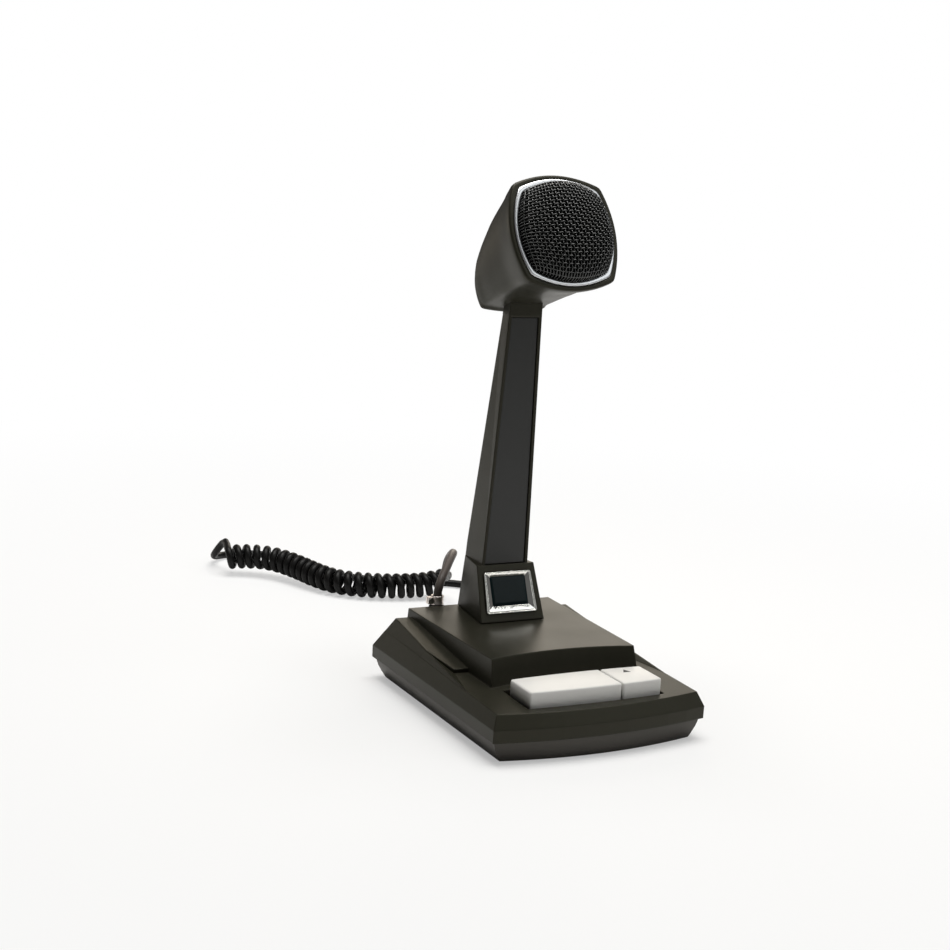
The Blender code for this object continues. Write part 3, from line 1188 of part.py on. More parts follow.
BUSH_TOP_Z = CLAMP_TOP_Z - CLAMP_H - GAP
BUSH = add("cord_bushing", cylinder((CLAMP_X, Y(CLAMP_Y)), BUSH_R, BUSH_FLOOR_Z + GAP, BUSH_TOP_Z,
                                    sides=20), RUBBER)
boolean(BUSH, cylinder((CLAMP_X, Y(CLAMP_Y)), CORD_R + GAP, BUSH_FLOOR_Z - OVERRUN,
                       BUSH_TOP_Z + OVERRUN, sides=16))
settle(BUSH)

CLAMP_OUT = CORD_R + GAP + CLAMP_WALL
CLAMP = add("cord_clamp", cylinder((CLAMP_X, Y(CLAMP_Y)), CLAMP_OUT, CLAMP_TOP_Z - CLAMP_H,
                                   CLAMP_TOP_Z, sides=24), CHROME)
boolean(CLAMP, box(CLAMP_X - CLAMP_OUT - CLAMP_EAR / 2, CLAMP_X - CORD_R - GAP * 2, Y(CLAMP_Y) - EAR_HALF,
                   Y(CLAMP_Y) + EAR_HALF, CLAMP_TOP_Z - CLAMP_H, CLAMP_TOP_Z - EDGE_R), "UNION")
settle(CLAMP)
boolean(CLAMP, cylinder((CLAMP_X, Y(CLAMP_Y)), CORD_R + GAP, 0, CLAMP_TOP_Z + OVERRUN, sides=16))
settle(CLAMP)
screw_at = Vector((CLAMP_X - CLAMP_OUT - CLAMP_EAR / 4, Y(CLAMP_Y) - EAR_HALF - GAP - SCREW_HEAD_H / 2,
                   CLAMP_TOP_Z - CLAMP_H / 2))
head_bm = cylinder((0, 0), SCREW_R, 0, SCREW_HEAD_H / 2, sides=16)
head_bm.transform(oriented(screw_at, (0, 1, 0)))
add("cord_clamp_screw", head_bm, CHROME)


def along_plug(start, length, radius, sides=24, taper=None):
    bm = cylinder((0, 0), radius, 0, length, sides=sides, top_radius=taper)
    bm.transform(oriented(PLUG_END - Vector((start, 0, 0)), (-1, 0, 0)))
    return bm


SHELL_LONG = PLUG_L * SHELL_LONG_SHARE
RING_LONG = PLUG_L - SHELL_LONG
SHELL_BORE_R = PLUG_R * SHELL_BORE_SHARE
SHELL = add("plug_shell", along_plug(0, SHELL_LONG, PLUG_R * SHELL_BACK_SHARE,
                                     taper=PLUG_R * SHELL_FRONT_SHARE), STEEL)
boolean(SHELL, along_plug(SHELL_LONG * SHELL_SOLID_SHARE, SHELL_LONG, SHELL_BORE_R))
settle(SHELL)
COUPLER = add("plug_ring", along_plug(SHELL_LONG - RING_LONG * RING_OVER_SHARE, RING_LONG, PLUG_R), STEEL,
              origin=PLUG_END - Vector((SHELL_LONG, 0, 0)))
boolean(COUPLER, along_plug(0, PLUG_L * 2, PLUG_R * SHELL_FRONT_SHARE + GAP))
settle(COUPLER)
socket_long = SHELL_LONG * (1 - SOCKET_START_SHARE) + RING_LONG * SOCKET_REACH_SHARE
SOCKETS = add("plug_sockets", along_plug(SHELL_LONG * SOCKET_START_SHARE, socket_long,
                                         SHELL_BORE_R - GAP), SMOOTH_BLACK)
for spot in range(PIN_COUNT):
    a = 2 * pi * (spot + 0.5) / PIN_COUNT
    pinhole = along_plug(SHELL_LONG, RING_LONG, PLUG_R * PIN_R_SHARE, sides=10)
    circle = PLUG_R * PIN_CIRCLE_SHARE
    pinhole.transform(Matrix.Translation((0, circle * cos(a), circle * sin(a))))
    boolean(SOCKETS, pinhole)
settle(SOCKETS)


def stem_hollow(z_share):
    """The middle of the stem's bore, at a share of its height."""
    z = between(STEM_BASE_Z, STEM_TOP_Z, z_share)
    return Vector((0, Y((stem_front(z) + BORE_FRONT + stem_back(z) - STEM_WALL) / 2), z))


LEAD_HEIGHT_SHARES = (0.57, 0.2, 0.03)
capsule_back = CARRIER_BACK + CAPSULE_H + GAP + LEAD_R
board_end = Vector((*on_board(*LEAD_SPOT_SHARES), BOARD_TOP_Z + LEAD_R * 4))
LEAD_INSIDE = [head_point(0, capsule_back, 0), head_point(0, capsule_back + CAPSULE_H / 2, -LEAD_R * 4),
               Vector((0, Y(LEAD_Y - LEAD_R), STEM_TOP_Z + STEM_INTO_HEAD * 2)),
               Vector((0, Y(LEAD_Y), STEM_TOP_Z + STEM_INTO_HEAD)), Vector((0, Y(LEAD_Y), STEM_TOP_Z))]
LEAD_INSIDE += [stem_hollow(share) for share in LEAD_HEIGHT_SHARES]
LEAD_INSIDE += [stem_hollow(0) - Vector((0, 0, COVER_WALL * 2)),
                board_end.lerp(stem_hollow(0), LEAD_TURN_SHARE), board_end]
tube("capsule_lead", even(swept(LEAD_INSIDE), LEAD_R * 12), LEAD_R, COPPER, resolution=0)
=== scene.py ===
# %% [markdown]
# # A desk microphone, dressed for its picture
# The measured model gives every piece its place and size. Here the same pieces get their final
# surfaces: moulded plastic, a woven wire grille, bright trim and a curly cord.
# The model is loaded once and stays as it is; new pieces sit exactly where its pieces are.

# %% Load the measured model
import bpy
import bmesh
from math import sin, cos, pi, radians
from mathutils import Vector, Matrix


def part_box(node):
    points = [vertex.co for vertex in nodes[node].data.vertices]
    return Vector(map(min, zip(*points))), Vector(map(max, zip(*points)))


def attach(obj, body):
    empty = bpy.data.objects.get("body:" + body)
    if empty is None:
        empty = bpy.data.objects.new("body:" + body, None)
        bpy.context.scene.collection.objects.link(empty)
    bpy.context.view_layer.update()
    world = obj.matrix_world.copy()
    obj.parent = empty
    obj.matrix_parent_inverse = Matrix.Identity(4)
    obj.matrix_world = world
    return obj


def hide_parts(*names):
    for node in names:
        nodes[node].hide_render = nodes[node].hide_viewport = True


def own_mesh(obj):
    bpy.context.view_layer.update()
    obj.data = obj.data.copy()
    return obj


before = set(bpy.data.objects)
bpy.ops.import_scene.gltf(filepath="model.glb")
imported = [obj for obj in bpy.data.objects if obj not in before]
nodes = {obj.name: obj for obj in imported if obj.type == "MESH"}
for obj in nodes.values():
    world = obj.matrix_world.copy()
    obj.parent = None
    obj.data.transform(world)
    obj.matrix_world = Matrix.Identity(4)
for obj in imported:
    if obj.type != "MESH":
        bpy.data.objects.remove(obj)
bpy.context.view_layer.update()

# %% [markdown]
# ## Where things are
# Sizes are easiest to read in millimetres, measured back from the front corners of the base.
# One small function turns such a place into the model's metres, so every later number can be
# compared with a ruler held against the real thing.

# %% Millimetres to model space
MM = 0.001
BACK_SHIFT = -62.75


def at(x, depth, z):
    """A place in millimetres, its depth counted from the base's front corners."""
    return Vector((x, depth + BACK_SHIFT, z)) * MM


def placed(name, data):
    """A new object, linked to the scene."""
    obj = bpy.data.objects.new(name, data)
    bpy.context.scene.collection.objects.link(obj)
    return obj


print("front corner of the lip:", [round(c, 4) for c in at(-54, 0, 9.8)])

# %% [markdown]
# ## The camera
# The picture was taken from the left, a little above the desk, with the camera rolled by about
# four degrees. The place was worked out from the corners of the base and head. A small lens shift
# keeps the object where it stands in the picture without bending its upright lines.

# %% Camera
TURN, RISE, ROLL = radians(-30.08), radians(12.22), radians(4.14)
across = Vector((cos(TURN), sin(TURN), 0))
back = Vector((sin(TURN) * cos(RISE), -cos(TURN) * cos(RISE), sin(RISE)))
above = back.cross(across)
right = across * cos(ROLL) + above * sin(ROLL)
upward = above * cos(ROLL) - across * sin(ROLL)
eye = bpy.data.cameras.new("picture_camera")
eye.sensor_width, eye.lens = 36.0, 66.96
eye.shift_x, eye.shift_y = -0.0787, 0.0277
eye.clip_start = 0.01
camera = placed("picture_camera", eye)
facing = Matrix((right, upward, back)).transposed()
camera.matrix_world = Matrix.Translation(at(-396.78, -625.03, 271.45)) @ facing.to_4x4()
bpy.context.scene.camera = camera
bpy.context.scene.view_settings.view_transform = "Standard"
print("camera distance to the head, mm:", round((camera.location - at(0, 64, 222)).length / MM))

# %% [markdown]
# ## Making meshes
# Most pieces are lofts: a row of outlines joined by faces, like the ribs and skin of a boat.
# Others are thick lines bent along a path, or the measured shape with a change. These helpers
# make all three, and hang each piece on the body that carries it, so that it moves with it.

# %% Mesh helpers
def piece(name, bm, body, finish, *stands_for, slot, smooth=40):
    """Turn a bmesh into a finished object that rides on a body, in place of measured pieces."""
    bmesh.ops.recalc_face_normals(bm, faces=bm.faces)
    mesh = bpy.data.meshes.new(name)
    bm.to_mesh(mesh)
    bm.free()
    mesh.shade_smooth()
    mesh.set_sharp_from_angle(angle=radians(smooth))
    obj = placed(name, mesh)
    wear(obj, finish)
    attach(obj, body)
    if stands_for:
        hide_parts(*stands_for)
    return obj


def wear(obj, finish):
    """Give an object its finish, whatever it wore before."""
    obj.data.materials.clear()
    obj.data.materials.append(finish.material)
    if obj.type == "MESH":
        for face in obj.data.polygons:
            face.material_index = 0


def skin(rings, bm=None, caps=True):
    """Join outlines of equal length by faces, and close the two ends."""
    bm = bm or bmesh.new()
    rows = [[bm.verts.new(p) for p in ring] for ring in rings]
    count = len(rows[0])
    for low, high in zip(rows, rows[1:]):
        for i in range(count):
            j = (i + 1) % count
            bm.faces.new((low[i], low[j], high[j], high[i]))
    if caps:
        bm.faces.new(rows[0][::-1])
        bm.faces.new(rows[-1])
    return bm


def tube_along(line, radius, sides, bm):
    """A round tube whose outline is carried along a line without twisting."""
    rings = []
    side = (line[1] - line[0]).normalized().orthogonal()
    for i, p in enumerate(line):
        ahead = (line[min(i + 1, len(line) - 1)] - line[max(i - 1, 0)]).normalized()
        side = (side - ahead * side.dot(ahead)).normalized()
        other = ahead.cross(side)
        angles = [2 * pi * k / sides for k in range(sides)]
        rings.append([p + side * (radius * cos(a)) + other * (radius * sin(a)) for a in angles])
    return skin(rings, bm)


def measured_copy(node):
    """The measured shape as loose geometry, its doubled corners joined, ready to be altered."""
    bm = bmesh.new()
    bm.from_mesh(nodes[node].data)
    bmesh.ops.remove_doubles(bm, verts=bm.verts, dist=0.02 * MM)
    return bm


print("mesh helpers ready")

# %% [markdown]
# ## Smooth lines
# A cord is chosen as a few places and then filled in by a smooth curve that passes through all of
# them. Reading the curve at even steps keeps the tube's rings evenly spaced.

# %% Smooth lines
def smooth_line(points, per_span=8):
    """A curve through all the points, each span filled in by a cubic."""
    ends = [points[0] * 2 - points[1]] + points + [points[-1] * 2 - points[-2]]
    fine = []
    for a, b, c, d in zip(ends, ends[1:], ends[2:], ends[3:]):
        for i in range(per_span):
            t = i / per_span
            fine.append(0.5 * ((2 * b) + (c - a) * t + (2 * a - 5 * b + 4 * c - d) * t * t
                               + (3 * b - a - 3 * c + d) * t * t * t))
    return fine + [points[-1].copy()]


def line_length(points):
    return sum((b - a).length for a, b in zip(points, points[1:]))


def even_steps(points, step):
    """The same line read at equal distances."""
    total = line_length(points)
    count = max(2, round(total / step))
    out, walked, k = [points[0].copy()], 0.0, 0
    for i in range(1, count):
        goal = total * i / count
        while walked + (points[k + 1] - points[k]).length < goal:
            walked += (points[k + 1] - points[k]).length
            k += 1
        span = (points[k + 1] - points[k]).length
        out.append(points[k].lerp(points[k + 1], (goal - walked) / span))
    return out + [points[-1].copy()]


print("points on 10 mm read every 1 mm:", len(even_steps([at(0, 0, 0), at(10, 0, 0)], 1 * MM)))

# %% [markdown]
# ## Painting with sums
# A material is a small network of nodes. Wiring it by hand is slow to read, so one class wraps a
# socket and lets plain Python sums build the maths nodes: `grain * 0.3 + 0.5` adds two of them.

# %% Sockets that can be added and multiplied
class Value:
    """A node's output; sums on it add Math nodes to the same network."""

    def __init__(self, network, socket):
        self.network, self.socket = network, socket

    def sum_of(self, how, a, b, clamp=False):
        return self.network.node("ShaderNodeMath", {"operation": how, "use_clamp": clamp},
                                 {0: a, 1: b})

    def __add__(self, other):
        return self.sum_of("ADD", self, other)

    def __radd__(self, other):
        return self.sum_of("ADD", other, self)

    def __sub__(self, other):
        return self.sum_of("SUBTRACT", self, other)

    def __rsub__(self, other):
        return self.sum_of("SUBTRACT", other, self)

    def __mul__(self, other):
        return self.sum_of("MULTIPLY", self, other)

    def __rmul__(self, other):
        return self.sum_of("MULTIPLY", other, self)

    def or_larger(self, other):
        return self.sum_of("MAXIMUM", self, other)

    def held(self):
        """The same value kept between 0 and 1."""
        return self.sum_of("ADD", self, 0.0, clamp=True)


print("values can be added, taken away and multiplied")

# %% [markdown]
# ## One way to add a node
# Every other node is added in one way: its type, then its settings, then what goes into its
# sockets, either a number or the output of another node.

# %% Networks of nodes
class Network:
    """The nodes of a material or of the surround."""

    def __init__(self, owner, emptied=False):
        owner.use_nodes = True
        self.tree = owner.node_tree
        if emptied:
            self.tree.nodes.clear()

    def node(self, kind, settings=None, sockets=None, out=0):
        made = self.tree.nodes.new(kind)
        for key, value in (settings or {}).items():
            setattr(made, key, value)
        for key, value in (sockets or {}).items():
            if isinstance(value, Value):
                self.tree.links.new(value.socket, made.inputs[key])
            else:
                made.inputs[key].default_value = value
        return Value(self, made.outputs[out]) if made.outputs else None

    def place(self):
        """Where a point lies on its own object, in metres."""
        return self.node("ShaderNodeTexCoord", out="Object")


print("network helper ready")

# %% [markdown]
# ## A finish
# A finish is one material: the standard surface shader, with a few constants set on it, and the
# noises that vary its colour, roughness and bump over the piece.

# %% Finishes
def socket_name(key):
    """A socket's own name, from the word that stands for it here."""
    return key.replace("_", " ").title().replace("Ior", "IOR")


class Finish(Network):
    """One material: its Principled shader, and the nodes that vary it over the surface."""

    def __init__(self, name, **constants):
        self.material = bpy.data.materials.new(name)
        super().__init__(self.material)
        self.shader = self.tree.nodes["Principled BSDF"]
        for key, value in constants.items():
            self.shader.inputs[socket_name(key)].default_value = value
        self.here = self.place()

    def noise(self, size_mm, detail=3.0, where=None, rough=0.5):
        """Soft cloudy variation, about 0 to 1, with features of the given size."""
        return self.node("ShaderNodeTexNoise", {}, {
            "Vector": where or self.here, "Scale": 1000.0 / size_mm,
            "Detail": detail, "Roughness": rough})

    def blend(self, share, first, second):
        """A colour between two others."""
        a, b = ((*c, 1.0) if isinstance(c, tuple) else c for c in (first, second))
        return self.node("ShaderNodeMix", {"data_type": "RGBA"}, {0: share, 6: a, 7: b}, out=2)

    def stretched(self, x, y, z):
        """The place on the object with its axes scaled, for streaks."""
        return self.node("ShaderNodeVectorMath", {"operation": "MULTIPLY"},
                         {0: self.here, 1: (x, y, z)})

    def feed(self, **inputs):
        """Link values to the shader's sockets."""
        for key, value in inputs.items():
            self.tree.links.new(value.socket, self.shader.inputs[socket_name(key)])
        return self

    def raised(self, height, distance_mm, edge_mm):
        """Bump from a height value, over normals that are bent round the edges."""
        eased = self.node("ShaderNodeBevel", {"samples": 6}, {"Radius": edge_mm * MM})
        return self.feed(normal=self.node("ShaderNodeBump", {}, {
            "Height": height, "Distance": distance_mm * MM, "Strength": 1.0, "Normal": eased}))


print("finishes can vary:", [socket_name(key) for key in ("base_color", "roughness", "normal")])

# %% [markdown]
# ## Moulded plastic
# The shell is one warm, olive-black plastic with a fine spark-eroded grain, so it is never a
# mirror: its tops catch the light softly, while its upright faces stay dark. A noise a third of a
# millimetre across gives the grain, and a much larger one lets the sheen wander a little.
# The strip up the stem is a smoother, blacker plastic with the same recipe and less grain.

# %% Shell plastics
CLOUD_MM = 26.0


def moulded(name, dark, light, rough, grain_mm, bump_mm, edge_mm, **constants):
    """Plastic with a grain, a wandering sheen and the small radius of a moulded edge."""
    finish = Finish(name, **constants)
    cloud = finish.noise(CLOUD_MM, 2.0)
    speck = finish.noise(grain_mm, 2.0)
    low, high = rough
    finish.feed(base_color=finish.blend((cloud * 0.6 + speck * 0.4).held(), dark, light),
                roughness=cloud * (high - low) + speck * 0.08 + (low - 0.04))
    return finish.raised(speck, bump_mm, edge_mm)


SHELL = moulded("olive_black_shell", (0.0142, 0.0136, 0.0086), (0.0195, 0.0186, 0.0122),
                rough=(0.34, 0.46), grain_mm=0.34, bump_mm=0.014, edge_mm=0.9,
                specular_ior_level=0.28, specular_tint=(1.0, 0.96, 0.80, 1.0))
STRIP = moulded("smooth_black_strip", (0.0085, 0.0090, 0.0080), (0.0110, 0.0115, 0.0105),
                rough=(0.26, 0.34), grain_mm=0.5, bump_mm=0.006, edge_mm=0.4,
                specular_ior_level=0.5)
UNDERSIDE = moulded("pan_plastic", (0.0165, 0.0150, 0.0125), (0.0225, 0.0205, 0.0170),
                    rough=(0.34, 0.46), grain_mm=0.4, bump_mm=0.02, edge_mm=0.4,
                    specular_ior_level=0.6, specular_tint=(1.0, 0.94, 0.86, 1.0))
IVORY = moulded("white_key_plastic", (0.77, 0.755, 0.725), (0.82, 0.81, 0.785),
                rough=(0.34, 0.42), grain_mm=0.6, bump_mm=0.006, edge_mm=0.7,
                specular_ior_level=0.5)
print("plastics:", [finish.material.name for finish in (SHELL, STRIP, UNDERSIDE, IVORY)])

# %% [markdown]
# ## Metals
# Bright trim takes its look from what it mirrors, so its own colour hardly varies; faint brushing
# and tiny roughness changes keep it from looking like a perfect mirror. Steel fasteners are
# duller and slightly blotchy from their plating.

# %% Metals
def metal(name, colour, shade, rough, streak, blotch_mm, bump_mm=0.004):
    """Bare or plated metal, with brushing along one axis and blotches of the given size."""
    finish = Finish(name, metallic=1.0)
    lines = finish.noise(1.4, 3.0, finish.stretched(*streak))
    cloud = finish.noise(blotch_mm, 3.0)
    low, high = rough
    finish.feed(base_color=finish.blend((lines * 0.5 + cloud * 0.5).held(), shade, colour),
                roughness=lines * ((high - low) * 0.6) + cloud * ((high - low) * 0.4) + low)
    return finish.raised(lines, bump_mm, edge_mm=0.25)


TRIM = metal("satin_trim", (0.80, 0.81, 0.83), (0.68, 0.69, 0.71),
             rough=(0.24, 0.36), streak=(1, 4, 4), blotch_mm=6.0)
BEVELS = metal("polished_bevels", (0.95, 0.94, 0.89), (0.88, 0.87, 0.82),
               rough=(0.02, 0.06), streak=(1, 1, 1), blotch_mm=4.0, bump_mm=0.05)
ROSE = metal("rose_nickel", (0.93, 0.85, 0.80), (0.86, 0.78, 0.73),
             rough=(0.36, 0.48), streak=(1, 3, 3), blotch_mm=5.0, bump_mm=0.002)
STEEL = metal("plated_steel", (0.58, 0.57, 0.54), (0.44, 0.43, 0.40),
              rough=(0.28, 0.46), streak=(1, 1, 6), blotch_mm=1.6)
PLUG_METAL = metal("plug_alloy", (0.70, 0.70, 0.69), (0.58, 0.58, 0.57),
                   rough=(0.26, 0.40), streak=(6, 1, 1), blotch_mm=4.0)
CAN = metal("capsule_can", (0.62, 0.62, 0.60), (0.52, 0.52, 0.50),
            rough=(0.30, 0.42), streak=(1, 1, 1), blotch_mm=3.0)
IRON = metal("cast_iron", (0.13, 0.125, 0.12), (0.07, 0.068, 0.065),
             rough=(0.6, 0.8), streak=(1, 1, 1), blotch_mm=2.0, bump_mm=0.12)
BRASS = metal("turned_brass", (0.70, 0.50, 0.20), (0.56, 0.38, 0.14),
              rough=(0.24, 0.36), streak=(1, 1, 5), blotch_mm=2.0)
print("metals:", [finish.material.name for finish in (TRIM, BEVELS, ROSE, STEEL, BRASS)])

# %% [markdown]
# ## Wire, foam, rubber and the badge's face
# The grille is black lacquered wire: each strand is round, so a low roughness gives it the pale
# glints seen in the picture. Behind it sits dark open foam. The same recipe, with other grains,
# serves the rubber feet, the dark face of the badge and the parts on the board.

# %% Soft and dark finishes
EDGE_MM = 0.2


def dark_finish(name, dark, light, rough, grain_mm, bump_mm, **constants):
    """A matt or lacquered stuff with one grain in its colour and its bump."""
    finish = Finish(name, **constants)
    grain = finish.noise(grain_mm, 4.0, rough=0.6)
    cloud = finish.noise(grain_mm * 14, 2.0)
    low, high = rough
    finish.feed(base_color=finish.blend((grain * 0.6 + cloud * 0.4).held(), dark, light),
                roughness=cloud * (high - low) + low)
    return finish.raised(grain, bump_mm, EDGE_MM)


WIRE = dark_finish("lacquered_wire", (0.0030, 0.0040, 0.0030), (0.0065, 0.0085, 0.0062),
                   rough=(0.10, 0.18), grain_mm=0.5, bump_mm=0.004, specular_ior_level=0.95)
FOAM = dark_finish("open_foam", (0.002, 0.002, 0.002), (0.009, 0.009, 0.009),
                   rough=(0.92, 1.0), grain_mm=0.8, bump_mm=0.35, specular_ior_level=0.05)
RUBBER = dark_finish("soft_rubber", (0.012, 0.012, 0.012), (0.020, 0.020, 0.019),
                     rough=(0.62, 0.78), grain_mm=0.4, bump_mm=0.02)
FACE = dark_finish("badge_face", (0.0030, 0.0080, 0.0090), (0.0055, 0.0150, 0.0165),
                   rough=(0.10, 0.30), grain_mm=3.0, bump_mm=0.08, specular_ior_level=0.12)
BLACK_PART = dark_finish("black_component", (0.012, 0.012, 0.012), (0.022, 0.022, 0.022),
                         rough=(0.45, 0.6), grain_mm=0.4, bump_mm=0.01)
CASE = dark_finish("battery_case", (0.020, 0.022, 0.045), (0.030, 0.032, 0.060),
                   rough=(0.3, 0.42), grain_mm=0.6, bump_mm=0.006)
LEAD = dark_finish("lead_cover", (0.22, 0.016, 0.012), (0.30, 0.024, 0.018),
                   rough=(0.42, 0.55), grain_mm=0.4, bump_mm=0.006)
BOARD = dark_finish("green_board", (0.010, 0.070, 0.026), (0.020, 0.110, 0.045),
                    rough=(0.35, 0.5), grain_mm=1.6, bump_mm=0.02)
PAINT = dark_finish("mark_paint", (0.010, 0.010, 0.010), (0.016, 0.016, 0.016),
                    rough=(0.5, 0.6), grain_mm=0.5, bump_mm=0.004)
print("dark finishes:", [finish.material.name for finish in (WIRE, FOAM, RUBBER, FACE, PAINT)])

# %% [markdown]
# ## The cord's jacket
# The jacket is a dense rubber with a soft shine. Where it stands up in a bend beside the stem, its
# colour is painted paler and browner: painted light, for the light that falls on that bend. The
# curls lie lower than that bend, so the height on the object is enough to fade from one colour to
# the other.

# %% Cord jacket
JACKET_GRAIN_MM, PAINTED_LIGHT_FROM_MM, PAINTED_LIGHT_PER_MM = 0.7, 31.0, 0.042
CURL_DARK, CURL_LIGHT = (0.0040, 0.0038, 0.0036), (0.0075, 0.0071, 0.0068)
# Painted light: the paler, browner colours of the lit bend, not a change in the rubber
PAINTED_LIT_BEND_DARK, PAINTED_LIT_BEND_LIGHT = (0.110, 0.092, 0.082), (0.140, 0.118, 0.106)

JACKET = Finish("cord_jacket", specular_ior_level=0.16)
grain = JACKET.noise(JACKET_GRAIN_MM, 4.0)
cloud = JACKET.noise(JACKET_GRAIN_MM * 14, 2.0)
height_mm = JACKET.node("ShaderNodeSeparateXYZ", {}, {0: JACKET.here}, out=2) * 1000.0
# Painted light: the jacket turns paler with height, where the bend above the curls catches the
# light
painted_light = ((height_mm - PAINTED_LIGHT_FROM_MM) * PAINTED_LIGHT_PER_MM).held()
JACKET.feed(base_color=JACKET.blend(painted_light, JACKET.blend(grain, CURL_DARK, CURL_LIGHT),
                                    JACKET.blend(grain, PAINTED_LIT_BEND_DARK, PAINTED_LIT_BEND_LIGHT)),
            roughness=cloud * 0.12 + 0.32)
JACKET.raised(JACKET.noise(JACKET_GRAIN_MM, 4.0, rough=0.6), 0.010, EDGE_MM)
print("the jacket is fully pale above, mm:", round(PAINTED_LIGHT_FROM_MM + 1 / PAINTED_LIGHT_PER_MM, 1))

# %% [markdown]
# ## The base
# The cover's measured shape is right, so it is kept, and the shell finish rounds its edges in the
# shading: a moulded edge has a radius of about a millimetre, which a real bevel would only tear on
# such a cut-out shape. Beside the stem block the picture shows two raised shoulders that end in
# a small step at the front; two caps lie on the cover there and fade into it at their back. A
# flat ramp outside each cap lets the upper edge of the side run on to the front in one line.

# %% Cover and shoulders
SIDES = {"left": -1, "right": 1}
SEAT_Z = 20.2
CAP_PLAN = [(37.4, 56.2), (45.6, 56.8), (49.1, 79.4), (48.2, 92.0), (37.4, 92.0)]
RAMP_TOP = [(51.1, 30.0, 22.32), (45.6, 56.8, 22.86), (45.6, 73.0, 24.6), (48.70, 88.0, 27.75)]
EDGE_X, SIDE_SLOPE = 48.0, 0.43


def slab(name, low, high):
    """A block between two outlines, fixed to the base and made of the shell's plastic."""
    rings = [[at(*spot) for spot in low], [at(*spot) for spot in high]]
    piece(name, skin(rings), "base", SHELL, slot="shell")


def cap_top(depth):
    """The deck's own slope, and how far the cap stands above it, less and less to the back."""
    return 24.9 + 0.112 * (depth - 60) + (0.12 - 0.0066 * (depth - 56.5))


def ramp_foot(x, z):
    """The ramp's outer corners move out at its foot, because the cover's side leans."""
    return x + SIDE_SLOPE * (z - SEAT_Z) - 0.05 if x > EDGE_X else x


wear(nodes["base_cover"], SHELL)
wear(nodes["battery_door"], UNDERSIDE)
for side, way in SIDES.items():
    slab("shoulder_cap_" + side, [(way * x, d, SEAT_Z) for x, d in CAP_PLAN],
         [(way * x, d, cap_top(d)) for x, d in CAP_PLAN])
for side, way in SIDES.items():
    slab("side_ramp_" + side, [(way * ramp_foot(x, z), d, SEAT_Z) for x, d, z in RAMP_TOP],
         [(way * x, d, z) for x, d, z in RAMP_TOP])
low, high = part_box("base_cover")
print("cover, mm:", [round((b - a) / MM, 1) for a, b in zip(low, high)])

# %% [markdown]
# ## The tray under the base
# The tray tapers inwards below the lip and nearly touches the desk, with its rubber feet hidden
# underneath. The measured tray is kept, and a thin skirt stands round its outside: it follows the
# tray's taper and carries it on down almost to the desk, which is how the picture shows it.

# %% Tray
LIP_HALF, BASE_LONG, FRONT_BOW = 54.0, 128.0, 5.5
# How far in the sides stand, how far back the front stands, and the height
SKIRT = [(1.5, 1.5, 9.45), (1.9, 1.75, 7.6), (2.5, 2.1, 5.7), (3.9, 2.6, 2.9), (5.1, 2.95, 0.75),
         (5.5, 3.2, 0.25), (6.2, 4.2, 0.15), (7.6, 6.6, 0.15), (7.6, 6.6, 1.8)]


def tray_outline(side_in, front_in, z, steps=24):
    """The base's outline from above: a bowed front and straight sides and back."""
    half, back_edge = LIP_HALF - side_in, BASE_LONG - side_in
    shares = [2 * i / steps - 1 for i in range(steps + 1)]
    front = [at(half * u, front_in - FRONT_BOW * (1 - u * u), z) for u in shares]
    return front + [at(half, back_edge, z), at(-half, back_edge, z)]


wear(nodes["base_pan"], UNDERSIDE)
skirt = skin([tray_outline(*spot) for spot in SKIRT + SKIRT[:1]], caps=False)
piece("tray_skirt", skirt, "base", UNDERSIDE, slot="shell", smooth=30)
print("skirt above the desk, mm:", min(z for _, _, z in SKIRT))

# %% [markdown]
# ## The head's shape
# The head is a square with swollen sides, tilted back. Its outline is drawn once, in the plane of
# the face, and then repeated smaller and smaller towards the back. The corners of each outline
# are eased by letting every point drift towards its neighbours a few times.

# %% Head outlines
TILT = radians(25.2)
HEAD_AT = at(0, 64, 222)
BEHIND = Vector((0, cos(TILT), -sin(TILT)))
HEAD_TOP = Vector((0, sin(TILT), cos(TILT)))
CORNER, SWELL, HEAD_LONG = 22.3, 4.9, 58.5


def in_head(side, behind, up):
    """A place in the head: across the face, behind it and up it, in millimetres."""
    return HEAD_AT + (Vector((side, 0, 0)) + BEHIND * behind + HEAD_TOP * up) * MM


def swollen(half, top, bottom, swell, ease=1, steps=32):
    """A square outline with swollen sides, as places across and up the face."""
    run = [(2 * i / steps - 1, swell * (1 - (2 * i / steps - 1) ** 2)) for i in range(steps)]
    ring = []
    for way in (1, -1):
        edge = -bottom if way > 0 else top
        ring += [[way * half * u, edge - way * bulge] for u, bulge in run]
        ring += [[way * (half + bulge), -bottom + (top + bottom) * (way * u + 1) / 2]
                 for u, bulge in run]
    for _ in range(ease):
        ring = [[(a[k] + 2 * b[k] + c[k]) / 4 for k in (0, 1)]
                for a, b, c in zip(ring[-1:] + ring[:-1], ring, ring[1:] + ring[:1])]
    return ring


def face_outline(behind, inset):
    """The face's own outline, drawn in by a distance and set back by another."""
    edge = CORNER - inset
    return [in_head(x, behind, up) for x, up in swollen(edge, edge, edge, SWELL)]


print("face outline points:", len(face_outline(0, 0)))

# %% [markdown]
# ## How the head narrows
# A few sections say how wide and high the head is at each depth. The ones between them are read
# from a curve that has no kink where two spans meet, so that no ring shows on the finished shell.

# %% Head sections
# Depth, half width, top edge, bottom edge and swelling, as shares of the face's own
SECTIONS = ((0.0, 1.0, 1.0, 1.0, 1.0), (0.05, 0.995, 1.0, 1.0, 0.97),
            (0.3, 0.89, 0.90, 0.875, 0.73), (0.5, 0.86, 0.755, 0.825, 0.565),
            (0.66, 0.84, 0.575, 0.78, 0.46), (0.81, 0.805, 0.39, 0.75, 0.39),
            (0.92, 0.785, 0.17, 0.73, 0.325), (0.98, 0.715, -0.04, 0.76, 0.30),
            (1.0, 0.5, -0.18, 0.61, 0.15))


